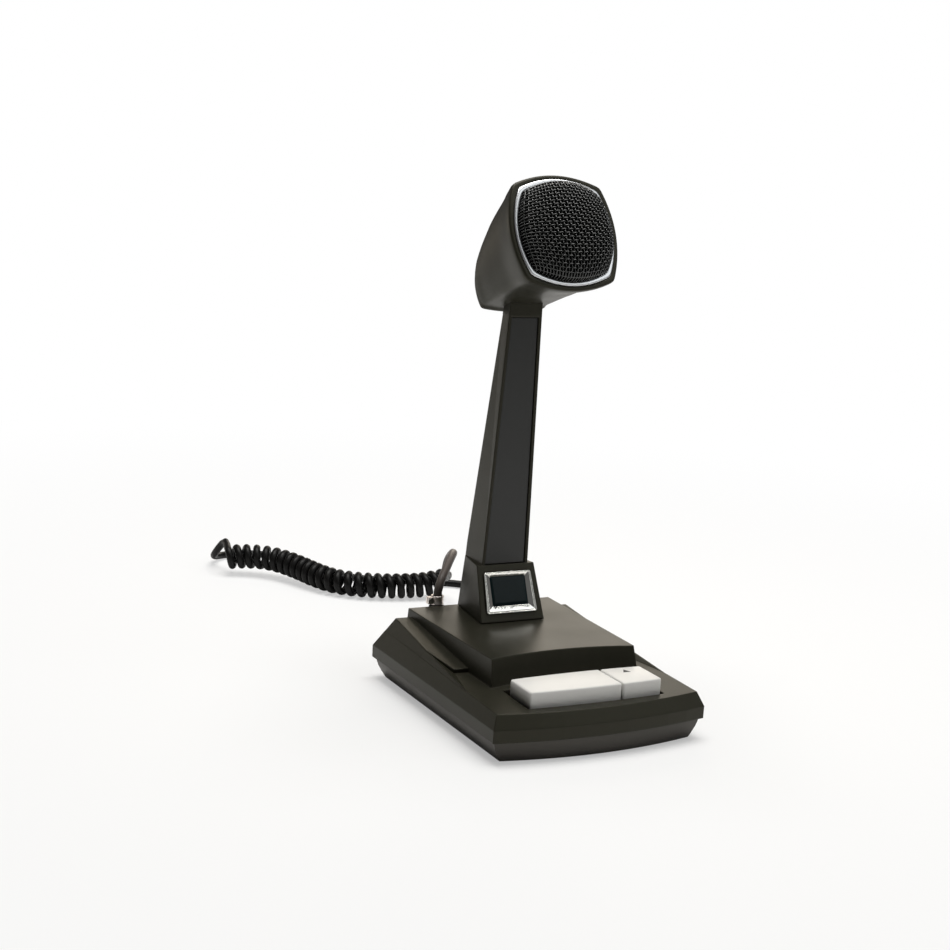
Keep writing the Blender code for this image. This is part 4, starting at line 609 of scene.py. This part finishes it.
def blended_section(t):
    """The sections read at any share of the depth, smoothly."""
    k = max(i for i, s in enumerate(SECTIONS[:-1]) if s[0] <= t)
    a, b, c, d = (SECTIONS[min(max(i, 0), len(SECTIONS) - 1)] for i in (k - 1, k, k + 1, k + 2))
    run = c[0] - b[0]
    f = (t - b[0]) / run
    out = []
    for j in range(1, 5):
        slope_b = (c[j] - a[j]) / (c[0] - a[0]) if k else (c[j] - b[j]) / run
        slope_c = (d[j] - b[j]) / (d[0] - b[0])
        out.append((2 * f ** 3 - 3 * f * f + 1) * b[j] + (f ** 3 - 2 * f * f + f) * run * slope_b
                   + (3 * f * f - 2 * f ** 3) * c[j] + (f ** 3 - f * f) * run * slope_c)
    return out


print("half width half way back, mm:", round(blended_section(0.5)[0] * CORNER, 1))

# %% [markdown]
# ## The head's shell
# One loft runs from inside the mouth, round a small radius at the rim, and back over the swollen
# body to its closed end. The rounded rim gives the thin light line round the face.

# %% Head shell
RIM, BAND, RIM_R = 2.1, 1.9, 0.9
MOUTH_IN, MOUTH_DEEP, STEP_DEEP, LIP_EASE = RIM + BAND + 1.2, 9.0, 2.4, 0.25
ROWS_BACK, CROWDING = 39, 1.35

rings = [face_outline(MOUTH_DEEP, MOUTH_IN), face_outline(STEP_DEEP, MOUTH_IN),
         face_outline(STEP_DEEP, RIM), face_outline(LIP_EASE, RIM),
         face_outline(0.0, RIM - LIP_EASE)]
for i in range(5):
    a = pi / 2 * (1 - i / 4)
    rings.append(face_outline(RIM_R * (1 - sin(a)), RIM_R * (1 - cos(a))))
first = RIM_R / HEAD_LONG
for i in range(1, ROWS_BACK + 1):
    t = first + (1 - first) * (1 - (1 - i / ROWS_BACK) ** CROWDING)
    half, top, bottom, swell = blended_section(min(t, 0.9999))
    section = swollen(half * CORNER, top * CORNER, bottom * CORNER, swell * SWELL,
                      ease=1 + round(2.5 * t))
    rings.append([in_head(x, t * HEAD_LONG, up) for x, up in section])
head = piece("head_cover", skin(rings), "base", SHELL, "head_shell", slot="shell", smooth=50)
print("head cover faces:", len(head.data.polygons))

# %% [markdown]
# ## The bright ring
# A flat metal ring sits in a step inside the rim. Its front is slightly domed, so that it shows
# one long highlight instead of a flat grey.

# %% Ring round the grille
# How far behind the face, and how far in from its edge
ring_profile = [(2.1, RIM), (0.0, RIM), (-0.45, RIM + 0.12), (-0.6, RIM + 0.4),
                (-0.66, RIM + 1.0), (-0.6, RIM + BAND - 0.3), (-0.35, RIM + BAND),
                (2.1, RIM + BAND)]
piece("grille_ring", skin([face_outline(b, inset) for b, inset in ring_profile]), "base", TRIM,
      "head_ring", slot="ring_metal", smooth=60)
print("ring stands proud by, mm:", -min(b for b, _ in ring_profile))

# %% [markdown]
# ## The woven grille
# The grille is real woven wire, pressed into a dome and trapped behind the ring. Each strand
# passes over one crossing and under the next, which is what makes the small glints run in
# diagonals. So every strand is a tube along a cosine wave, and the two families take opposite
# phases. The dome is steep at its edge and nearly flat in the middle.

# %% Woven grille
STRANDS, WIRE_R, WEAVE = 27, 0.27, 0.28
GRILLE_IN = RIM + BAND - 0.1
DOME_BACK, DOME_RISE, DOME_POWER = 0.5, 9.8, 0.28


def domed(u, v, lift=0.0):
    """A place on the dome, from shares of its width and height; lift carries it inwards."""
    edge = CORNER - GRILLE_IN
    side = edge * u + SWELL * u * (1 - v * v)
    up = edge * v + SWELL * v * (1 - u * u)
    rise = DOME_RISE * max(0.0, (1 - u * u) * (1 - v * v)) ** DOME_POWER
    fade = min(1.0, 6 * (1 - max(abs(u), abs(v))))
    return in_head(side, DOME_BACK - rise + lift * fade, up)


def strand(k, level):
    """One wire, level or upright, over and under its crossings."""
    line, steps = [], STRANDS * 4
    fixed = -1 + 2 * (k + 0.5) / STRANDS
    for i in range(steps + 1):
        run = -1 + 2 * i / steps
        wave = WEAVE * cos(pi * (i / 4 - 0.5)) * (1 if k % 2 else -1)
        line.append(domed(run, fixed, wave) if level else domed(fixed, run, -wave))
    return line


net = bmesh.new()
for level in (True, False):
    for k in range(STRANDS):
        tube_along(strand(k, level), WIRE_R * MM, 6, net)
grille = piece("woven_grille", net, "base", WIRE, "grille_mesh", slot="mesh_wire", smooth=80)
print("strands:", 2 * STRANDS, "faces:", len(grille.data.polygons))

# %% [markdown]
# ## Foam behind the grille
# A thin pad of open foam fills the dome from behind. It is barely seen, but it stops the light
# and gives the gaps between the wires their depth. Its domed front and flat back are two grids
# of the same places, joined round the rim.

# %% Foam pad
ROWS, REACH, GAP_MM, FOAM_BACK_MM = 20, 0.97, 1.6, 5.6

pad = bmesh.new()
shares = [REACH * (2 * i / ROWS - 1) for i in range(ROWS + 1)]
front = [[pad.verts.new(domed(u, v) + BEHIND * GAP_MM * MM) for u in shares] for v in shares]
rear = [[pad.verts.new(v.co + BEHIND * (FOAM_BACK_MM * MM - (v.co - HEAD_AT).dot(BEHIND)))
         for v in row] for row in front]
for sheet in (front, rear):
    for low, high in zip(sheet, sheet[1:]):
        for i in range(ROWS):
            pad.faces.new((low[i], low[i + 1], high[i + 1], high[i]))
rims = [sheet[0][:-1] + [row[-1] for row in sheet[:-1]] + sheet[-1][:0:-1]
        + [row[0] for row in sheet[:0:-1]] for sheet in (front, rear)]
for i in range(len(rims[0])):
    pad.faces.new((rims[0][i - 1], rims[0][i], rims[1][i], rims[1][i - 1]))
foam = piece("speech_foam", pad, "base", FOAM, "grille_foam", slot="foam")
print("foam pad faces:", len(foam.data.polygons))

# %% [markdown]
# ## The stem
# The stem leans and tapers from a boxed foot to the head, with a smoother strip let into its
# front between two thin walls. Its measured form is kept as it is; the shell finish eases its
# edges, and the strip gets its own blacker, smoother plastic. A short neck carries the stem on
# into the head's hollow underside.

# %% Stem
NECK_LOW, NECK_HIGH = 180.4, 189.0

wear(nodes["stem_column"], SHELL)
wear(nodes["stem_front_panel"], STRIP)
slab("stem_neck",
     [(x, d, NECK_LOW) for x, d in [(-8.65, 94.6), (8.65, 94.6), (7.58, 103.4), (-7.58, 103.4)]],
     [(x, d, NECK_HIGH) for x, d in [(-8.4, 94.35), (8.4, 94.35), (7.3, 102.2), (-7.3, 102.2)]])

# %% [markdown]
# ## The badge plate
# The plate on the box is polished metal with a sunken dark window. Bright bevels run round it,
# so the frame is a loft of rounded outlines that climb, level out and fall again to the window.

# %% Badge plate
FOOT_FRONT, BOX_FRONT, BOX_LOW, BOX_HIGH = 86.9, 98.2, 35.0, 60.4
LEAN = Vector((0, BOX_FRONT - FOOT_FRONT, BOX_HIGH - BOX_LOW)).normalized()
PLATE_OUT = Vector((0, -LEAN.z, LEAN.y))
PLATE_HALF = 13.5
# Share of the way from the plate's edge to its window, height off the box, corner radius
BEVEL_ROWS = ((0.0, -0.4, 1.2), (0.0, 0.7, 1.2), (0.03, 0.95, 1.1), (0.10, 1.05, 1.0),
              (0.17, 0.95, 0.9), (0.21, 0.75, 0.8), (0.25, 0.85, 0.8), (0.30, 0.95, 0.8),
              (0.36, 0.9, 0.7), (0.97, 0.12, 0.5), (1.0, -0.1, 0.5))
WINDOW_ROWS = ((0.985, -0.2, 0.5), (0.985, 0.1, 0.5), (1.03, 0.2, 0.4), (1.5, 0.24, 0.3))


def on_plate(x, up, out):
    return at(x, FOOT_FRONT, BOX_LOW) + (LEAN * up + PLATE_OUT * out) * MM


def plate_outline(share, out, r, steps=5):
    """A rounded outline between the plate's edge, share 0, and its sunken window, share 1."""
    low, high = 4.0 + 3.8 * share, 24.2 - 2.2 * share
    wide_low, wide_high = PLATE_HALF - 4.0 * share, 12.7 - 3.2 * share
    spots = ((wide_low, low, -pi / 2), (wide_high, high, 0.0), (-wide_high, high, pi / 2),
             (-wide_low, low, pi))
    ring = []
    for x, up, start in spots:
        middle_x, middle_up = x - (r if x > 0 else -r), up + (r if up == low else -r)
        for i in range(steps + 1):
            a = start + pi / 2 * i / steps
            ring.append(on_plate(middle_x + r * cos(a), middle_up + r * sin(a), out))
    return ring


piece("badge_surround", skin([plate_outline(*row) for row in BEVEL_ROWS]), "base", BEVELS,
      "badge_frame", slot="badge_metal", smooth=20)
piece("badge_window", skin([plate_outline(*row) for row in WINDOW_ROWS]), "base", FACE,
      "badge_face", slot="badge_glass", smooth=60)
print("badge width, mm:", 2 * PLATE_HALF)

# %% [markdown]
# ## Rounded keys
# The talk bar is one wide white key; its right end carries a small slide that holds it down. Both
# are lofts along the key's length, with their upper edges and ends rounded. Each cross-section is
# drawn by a function of the place along the key, because the front and back are bowed.

# %% Key helpers
BAR_HALF, BAR_LOW, BAR_HIGH = 33.8, 19.0, 28.8
KEY_FRONT, KEY_REAR, KEY_BOW, ROUND = 6.2, 25.2, 1.2, 0.7


def along_key(x0, x1, outline, ease=1.1, steps=14):
    """A loft along the key whose two ends are rounded by drawing their outlines in."""
    def rounded_end(start, way):
        angles = [pi / 8 * i for i in range(5)]
        return [outline(start + way * ease * (1 - cos(a)), ease * (1 - sin(a))) for a in angles]

    middle = [outline(x0 + ease + (x1 - x0 - 2 * ease) * i / steps, 0.0) for i in range(1, steps)]
    return rounded_end(x0, 1) + middle + rounded_end(x1, -1)[::-1]


def upper_arc(front, rear, high, inset):
    """The rounded upper edges of a key's cross-section, from front to rear."""
    r = max(ROUND, inset)
    curve = [(inset + r * (1 - cos(pi / 8 * i)), high - inset * 0.6 - r * (1 - sin(pi / 8 * i)))
             for i in range(5)]
    return [(front + run, z) for run, z in curve] + [(rear - run, z) for run, z in curve[::-1]]


def bow(x):
    return KEY_BOW * (1 - (x / BAR_HALF) ** 2)


def bar_section(first, high):
    """A function that draws the bar at any place, for a given front and height."""
    def outline(x, inset):
        front, rear = first - bow(x), KEY_REAR + bow(x)
        return [at(x, d, z) for d, z in [(front + inset, BAR_LOW)]
                + upper_arc(front, rear, high, inset) + [(rear - inset, BAR_LOW)]]
    return outline


print("key length, mm:", BAR_HALF * 2, "height, mm:", round(BAR_HIGH - BAR_LOW, 1))

# %% [markdown]
# ## The talk bar and its lock
# Under the slide the bar is set back and lower, so that the slide's front can reach down its whole
# height and still move. The bar's arms run back to the hinge under the block; they come from a
# copy of the measured key, cut off below the new one. The slide carries a small painted triangle.

# %% Talk bar and lock
SPLIT, SHELF_FRONT, SHELF_HIGH, ARMS_HIGH = 12.6, 10.8, 23.7, 18.9
LOCK_LOW, LOCK_UNDER, LOCK_WALL = BAR_LOW + 0.1, 24.1, 1.3
TRIANGLE, PAINT_LOW, PAINT_HIGH = [(21.2, 18.9), (25.0, 18.9), (23.1, 22.3)], 28.62, 28.84


def lock_outline(x, inset):
    """The slide's cross-section: a full front wall, and an underside just above the shelf."""
    front, rear = KEY_FRONT - bow(x), KEY_REAR + bow(x)
    return [at(x, d, z) for d, z in [(front + inset, LOCK_LOW)]
            + upper_arc(front, rear, BAR_HIGH, inset)
            + [(rear - inset, LOCK_UNDER), (front + LOCK_WALL, LOCK_UNDER),
               (front + LOCK_WALL, LOCK_LOW)]]


key = measured_copy("talk_bar")
bmesh.ops.bisect_plane(key, geom=key.verts[:] + key.edges[:] + key.faces[:], clear_outer=True,
                       plane_co=at(0, 0, ARMS_HIGH), plane_no=(0, 0, 1))
skin(along_key(-BAR_HALF, SPLIT - 0.25, bar_section(KEY_FRONT, BAR_HIGH)), key)
skin(along_key(SPLIT - 0.6, BAR_HALF, bar_section(SHELF_FRONT, SHELF_HIGH), 0.4), key)
bar = piece("talk_key", key, "talk_bar", IVORY, "talk_bar", slot="ivory", smooth=35)
slide = piece("lock_key", skin(along_key(SPLIT + 0.25, BAR_HALF, lock_outline)), "lock", IVORY,
              "lock_slide", slot="ivory", smooth=35)
mark = skin([[at(x, d, z) for x, d in TRIANGLE] for z in (PAINT_LOW, PAINT_HIGH)])
piece("lock_mark", mark, "lock", PAINT, slot="mesh_wire")
print("faces on the bar and the slide:", len(bar.data.polygons), len(slide.data.polygons))

# %% [markdown]
# ## Where the curly cord lies
# The cord leaves the base upwards through a clamped collar, bends over beside the stem and runs
# down to the desk, where its heat-set curls begin. Past the curls the plain end turns back and
# comes forward again to the plug beside the base, as it would when put away on a shelf.

# %% Cord places
CORD_R, TURN_R = 2.1, 5.1
TAIL = [(-21.7, 125.6, 29.0), (-21.7, 125.6, 36.0), (-21.5, 125.8, 41.0), (-18.6, 128.4, 46.2),
        (-13.2, 135.0, 49.2), (-7.2, 142.6, 52.2), (-1.0, 152.0, 52.6), (3.0, 163.0, 48.2),
        (8.0, 176.0, 41.4), (15.4, 192.0, 33.2), (24.6, 210.0, 24.6), (33.0, 225.0, 18.2)]
CURL_AXIS = [(41.0, 246.6, 9.6), (29.0, 249.0, 7.6), (16.0, 251.2, 7.3), (4.0, 255.0, 7.3),
             (-7.0, 261.4, 7.3), (-15.4, 270.4, 7.4), (-21.0, 281.4, 8.0), (-25.4, 293.0, 9.0),
             (-30.6, 304.4, 10.0), (-38.0, 314.0, 10.8), (-47.6, 320.6, 10.8),
             (-59.0, 324.6, 10.2)]
PLAIN_END = [(-60.4, 343.0, 8.0), (-56.6, 353.0, 3.4), (-46.4, 359.0, 2.3), (-33.0, 357.6, 2.3),
             (-22.6, 349.6, 2.3), (-15.6, 337.6, 2.3), (-10.4, 321.6, 2.3), (-4.0, 304.8, 2.3),
             (4.6, 292.4, 2.3), (16.6, 283.4, 2.3), (31.0, 277.4, 2.3), (46.6, 271.0, 2.3),
             (61.6, 261.4, 2.3), (73.6, 247.0, 2.3), (79.6, 229.0, 2.3), (80.2, 210.0, 2.3),
             (78.4, 192.0, 2.3), (75.4, 176.0, 2.6), (69.0, 162.6, 4.8), (60.4, 153.8, 7.9),
             (52.4, 151.0, 9.3), (44.3, 151.0, 9.3)]
print("places along the cord:", len(TAIL) + len(CURL_AXIS) + len(PLAIN_END))

# %% [markdown]
# ## The cord's line
# The curls are one helix wound about their route on the desk. Where the route bends, the turns
# open a little, so that they never touch on the inside of the bend. The helix is joined to the
# plain lengths by short straight leads in its own direction.

# %% Cord route
POINTS_PER_TURN, LEAD_IN = 22, 10.5
CLOSEST_PITCH, GAP_BETWEEN, BEND_WINDOW = 5.0, 0.9, 16


def curls(per_turn):
    """The helix about the curl route, more open where the route bends."""
    axis = even_steps(smooth_line([at(*p) for p in CURL_AXIS]), TURN_R / 8 * MM)
    last = len(axis) - 1
    ahead = [(axis[min(i + 1, last)] - axis[max(i - 1, 0)]).normalized() for i in range(last + 1)]
    step = (axis[1] - axis[0]).length
    phases = [0.0]
    for i in range(1, last + 1):
        first, second = max(i - BEND_WINDOW, 0), min(i + BEND_WINDOW, last)
        bend = ahead[first].angle(ahead[second]) / ((second - first) * step)
        pitch = max(CLOSEST_PITCH * MM,
                    (CORD_R * 2 + GAP_BETWEEN) * MM / (1 - TURN_R * MM * bend))
        phases.append(phases[-1] + 2 * pi * step / pitch)
    turns = round(phases[-1] / (2 * pi))
    stretch = turns * 2 * pi / phases[-1]
    line, k = [], 0
    for n in range(turns * per_turn + 1):
        a = 2 * pi * n / per_turn
        goal = a / stretch
        while k < last - 1 and phases[k + 1] < goal:
            k += 1
        t = min(1.0, (goal - phases[k]) / (phases[k + 1] - phases[k]))
        heading = ahead[k].lerp(ahead[k + 1], t).normalized()
        sideways = heading.cross(Vector((0, 0, 1))).normalized()
        lifted = sideways.cross(heading).normalized()
        line.append(axis[k].lerp(axis[k + 1], t)
                    + (lifted * cos(a) + sideways * sin(a)) * TURN_R * MM)
    return line, turns


wound, turn_count = curls(POINTS_PER_TURN)
into, away = (wound[1] - wound[0]).normalized(), (wound[-1] - wound[-2]).normalized()
lead_in = [wound[0] - into * LEAD_IN * MM, wound[0]]
lead_out = [wound[-1], wound[-1] + away * LEAD_IN * MM]
tail = even_steps(smooth_line([at(*p) for p in TAIL] + lead_in), 4 * MM)
plain = even_steps(smooth_line(lead_out + [at(*p) for p in PLAIN_END]), 4.5 * MM)
route = tail[:-1] + wound + plain[1:]
print("turns:", turn_count, "cord length, mm:", round(line_length(route) / MM))

# %% [markdown]
# ## The cord itself
# The curls and the plain lengths are one jacket, so the whole cord is one curve. The curve's own
# bevel gives it a round section.

# %% Cord
cord_curve = bpy.data.curves.new("curly_cord", "CURVE")
cord_curve.dimensions = "3D"
cord_curve.bevel_depth = 1.0
cord_curve.bevel_resolution = 5
cord_curve.use_fill_caps = True
cord_curve.twist_mode = "MINIMUM"
spline = cord_curve.splines.new("POLY")
spline.points.add(len(route) - 1)
for point, p in zip(spline.points, route):
    point.co = (*p, 1.0)
    point.radius = CORD_R * MM
spline.use_smooth = True
cord = placed("curly_cord", cord_curve)
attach(cord, "base")
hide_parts("cord_tail", "cord_curls", "cord_lead")
wear(cord, JACKET)
print("points along the cord:", len(route))

# %% [markdown]
# ## The collar
# Where the cord comes out, a rubber bushing fills the hole and a bright split collar grips the
# jacket. The collar is a short band with a rolled top and bottom, pulled together by a small
# screw through two ears.

# %% Collar and bushing
COLLAR_X, COLLAR_DEPTH = -21.7, 125.6
# Radius and height of each place round the section
BAND_SECTION = [(2.35, 34.6), (3.0, 34.4), (3.2, 34.75), (3.2, 35.2), (3.05, 35.5), (3.05, 37.8),
                (3.2, 38.1), (3.2, 38.6), (3.0, 38.95), (2.35, 38.8)]
BUSHING_SECTION = [(2.3, 27.4), (4.15, 27.4), (4.15, 32.6), (3.9, 33.6), (3.2, 34.1), (2.3, 34.1)]
EAR = [(-24.6, 35.0), (-27.0, 35.0), (-27.1, 35.4), (-27.1, 38.0), (-27.0, 38.4), (-24.6, 38.4)]


def hoop(section, steps=40):
    """A closed band round the cord's exit, turned from its section."""
    angles = [2 * pi * k / steps for k in range(steps)]
    return skin([[at(COLLAR_X + r * cos(a), COLLAR_DEPTH + r * sin(a), z) for a in angles]
                 for r, z in section + section[:1]], caps=False)


piece("cord_collar", hoop(BAND_SECTION), "base", ROSE, "cord_clamp", slot="badge_metal",
      smooth=50)
ears = bmesh.new()
for depths in ((124.3, 125.3), (125.9, 126.9)):
    skin([[at(x, d, z) for x, z in EAR] for d in depths], ears)
piece("collar_ears", ears, "base", ROSE, slot="badge_metal", smooth=30)
wear(nodes["cord_clamp_screw"], STEEL)
piece("rubber_bushing", hoop(BUSHING_SECTION), "base", RUBBER, "cord_bushing", slot="rubber",
      smooth=50)
heights = [z for _, z in BAND_SECTION]
print("collar height, mm:", round(max(heights) - min(heights), 2))

# %% [markdown]
# ## The plug
# The plug is a turned metal shell with a loose coupling ring and a moulded core for its sockets.
# The ring is ribbed so that fingers can turn it, and the shell steps down towards the cord. All of
# it is turned about one line, so every outline is a circle there.

# %% Plug
PLUG_X, PLUG_DEPTH, PLUG_Z = 44.0, 151.0, 9.3
RIBS, RIB_HIGH, RIBS_FROM, RIBS_TO = 36, 0.45, 22.4, 33.0
# How far along the plug, and the radius there
BODY = [(0.2, 2.3), (0.2, 4.6), (0.8, 5.0), (2.4, 5.15), (2.8, 4.9), (3.2, 5.2), (8.0, 5.9),
        (8.5, 5.6), (9.0, 6.05), (19.0, 7.1), (19.6, 6.8), (20.2, 7.25), (24.6, 7.4),
        (24.8, 7.2), (24.8, 5.7), (10.5, 5.6)]
GRIP = [(20.4, 7.95), (20.3, 8.5), (20.8, 8.9), (21.6, 8.98), (22.0, 8.6), (22.4, 8.98),
        (33.0, 8.98), (33.4, 8.6), (33.8, 8.98), (34.9, 8.9), (35.3, 8.6), (35.3, 7.95)]


def turned(along, r, steps=48, ribs=0):
    """One circle about the plug's line, pulled in between its ribs where it has any."""
    ring = []
    for k in range(steps):
        a = 2 * pi * k / steps
        swing = r - RIB_HIGH * (0.5 - 0.5 * cos(a * ribs))
        ring.append(at(PLUG_X - along, PLUG_DEPTH + swing * cos(a), PLUG_Z + swing * sin(a)))
    return ring


shell = piece("plug_body", skin([turned(a, r) for a, r in BODY]), "base", PLUG_METAL,
              "plug_shell", slot="plug_metal", smooth=30)
grip = [turned(a, r, 4 * RIBS, RIBS if RIBS_FROM <= a <= RIBS_TO else 0)
        for a, r in GRIP + GRIP[:1]]
coupling = piece("coupling_ring", skin(grip, caps=False), "plug_coupling", PLUG_METAL,
                 "plug_ring", slot="plug_metal", smooth=35)
wear(nodes["plug_sockets"], BLACK_PART)
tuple(route[0])
line_length(route)
print("plug length, mm:", round(GRIP[-1][0] - BODY[0][0], 1))

# %% [markdown]
# ## Everything else
# The pieces inside are hidden until the cover comes off, but each still wears what it is made of:
# cast iron for the ballast, lacquered green board, plated screws, a small brass trimmer.

# %% Inner pieces and fasteners
WORN_BY = ((IRON, "ballast_plate"), (CASE, "battery"), (LEAD, "capsule_lead"),
           (BOARD, "circuit_board"), (BRASS, "gain_rotor"), (CAN, "microphone_capsule"),
           (BLACK_PART, "talk_switch"),
           (RUBBER, "capsule_boot foot_1 foot_2 foot_3 foot_4"),
           (STEEL, "battery_door_screw case_screw_1 case_screw_2 case_screw_3 case_screw_4 "
                   "hinge_pin return_spring stem_screw_1 stem_screw_2"))
for finish, names in WORN_BY:
    for name in names.split():
        wear(nodes[name], finish)
print("inner pieces finished:", sum(len(names.split()) for _, names in WORN_BY))

# %% [markdown]
# ## The return spring
# The coil under the bar pushes it back up. Pressing the bar takes about three millimetres off its
# height, and a still coil would then poke into the bar. This one is a copy of the measured coil,
# fixed to the base, and it does not flatten as the hinge turns.

# %% Return spring
spring = piece("bar_spring", measured_copy("return_spring"), "base", STEEL, "return_spring",
               slot="screw_steel", smooth=60)
at(-24.0, 14.5, 8.3)
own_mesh(spring)
print("height of the coil at rest, mm:", round(spring.dimensions.z / MM, 1))

# %% [markdown]
# ## The white floor
# The picture was taken on a seamless white ground. The floor is white paper that keeps the soft
# shadow but looks a little brighter to the camera and to mirrors, so that it runs into the white
# surround without an edge. Near the object the paper shows more of its own shade, and further
# out it turns to plain white.

# %% Floor
WHITE = (1.0, 1.0, 1.0, 1.0)
FLOOR_R, FLOOR_MIRRORED, WHITE_NEAR, FADE_END = 4.0, 0.12, 0.38, 0.75


def white_for(network, mirrored):
    """1 for the camera and through glass, and a small share of it in mirrors."""
    camera_ray, glossy_ray, through_ray = (
        network.node("ShaderNodeLightPath", out=ray)
        for ray in ("Is Camera Ray", "Is Glossy Ray", "Is Transmission Ray"))
    return camera_ray.or_larger(glossy_ray * mirrored).or_larger(through_ray)


paper = bpy.data.materials.new("white_ground")
on_floor = Network(paper, emptied=True)
plain_paper = on_floor.node("ShaderNodeBsdfDiffuse", {}, {"Color": (0.86, 0.86, 0.86, 1.0)})
glow = on_floor.node("ShaderNodeEmission", {}, {"Color": WHITE, "Strength": 1.0})
distance = on_floor.node("ShaderNodeVectorMath", {"operation": "LENGTH"},
                         {0: on_floor.place()}, out="Value")
fade = on_floor.node("ShaderNodeMapRange", {"interpolation_type": "SMOOTHSTEP"}, {
    "Value": distance, "From Min": 0.0, "From Max": FADE_END,
    "To Min": WHITE_NEAR, "To Max": 1.0})
shown = white_for(on_floor, FLOOR_MIRRORED) * fade
on_floor.node("ShaderNodeOutputMaterial", {}, {
    "Surface": on_floor.node("ShaderNodeMixShader", {}, {0: shown, 1: plain_paper, 2: glow})})
ground = bmesh.new()
bmesh.ops.create_circle(ground, cap_ends=True, segments=64, radius=FLOOR_R)
mesh = bpy.data.meshes.new("ground")
ground.to_mesh(mesh)
ground.free()
mesh.materials.append(paper)
floor = placed("ground", mesh)
floor.location = (0, 0, -0.0002)
print("ground radius, m:", FLOOR_R)

# %% [markdown]
# ## Surround and lamps
# The surround is white to the camera but lights the object only dimly, so the dark plastic stays
# dark where no panel is mirrored in it. The light is one large soft panel above, one in front at
# the right for the white keys and the ring, and three small warm ones behind that graze the
# block's top, the shoulder strips and the head's side.

# %% Surround and lamps
SURROUND_LIGHT, SURROUND_MIRRORED = 0.03, 0.08


def panel(name, place, aim, size, power, colour):
    """A lamp that lights and is mirrored, but is never seen itself."""
    lamp = bpy.data.lights.new(name, "AREA")
    lamp.shape = "RECTANGLE"
    lamp.size, lamp.size_y = size
    lamp.energy = power
    lamp.color = colour
    obj = placed(name, lamp)
    obj.location = place
    obj.rotation_mode = "QUATERNION"
    obj.rotation_quaternion = (Vector(aim) - Vector(place)).to_track_quat("-Z", "Y")
    obj.visible_camera = False


world = bpy.data.worlds.new("pale_surround")
bpy.context.scene.world = world
around = Network(world, emptied=True)
lighting = around.node("ShaderNodeBackground", {}, {
    "Color": (1.0, 0.995, 0.985, 1.0), "Strength": SURROUND_LIGHT})
white = around.node("ShaderNodeBackground", {}, {"Color": WHITE, "Strength": 1.0})
shown = white_for(around, SURROUND_MIRRORED)
around.node("ShaderNodeOutputWorld", {}, {
    "Surface": around.node("ShaderNodeMixShader", {}, {0: shown, 1: lighting, 2: white})})
# Name, place, aim and size in metres, power in watts, colour
panel("top_panel", (0.05, 0.12, 1.15), (0, 0.02, 0.02), (1.0, 0.8), 15.9, (1.0, 0.99, 0.965))
panel("rear_right_panel", (0.76, 1.27, 0.40), (0, 0, 0.05), (0.55, 0.5), 2.0, (1.0, 0.92, 0.80))
panel("rear_left_panel", (-0.40, 1.10, 0.20), (0, 0, 0.2), (0.5, 0.20), 0.32, (1.0, 0.90, 0.76))
panel("rear_high_panel", (0.60, 1.10, 0.95), (0, 0.05, 0.03), (0.4, 0.3), 1.2, (1.0, 0.88, 0.72))
panel("front_right_panel", (0.90, -1.05, 1.10), (0, 0, 0.15), (1.3, 1.0), 4.7, (0.97, 1.0, 1.0))
print("lamps:", len(bpy.data.lights))

# %% [markdown]
# ## The last step
# The dressed model must stay as big as the measured one. This last step only brings the scene up
# to date.

# %% Finish
bpy.context.view_layer.update()
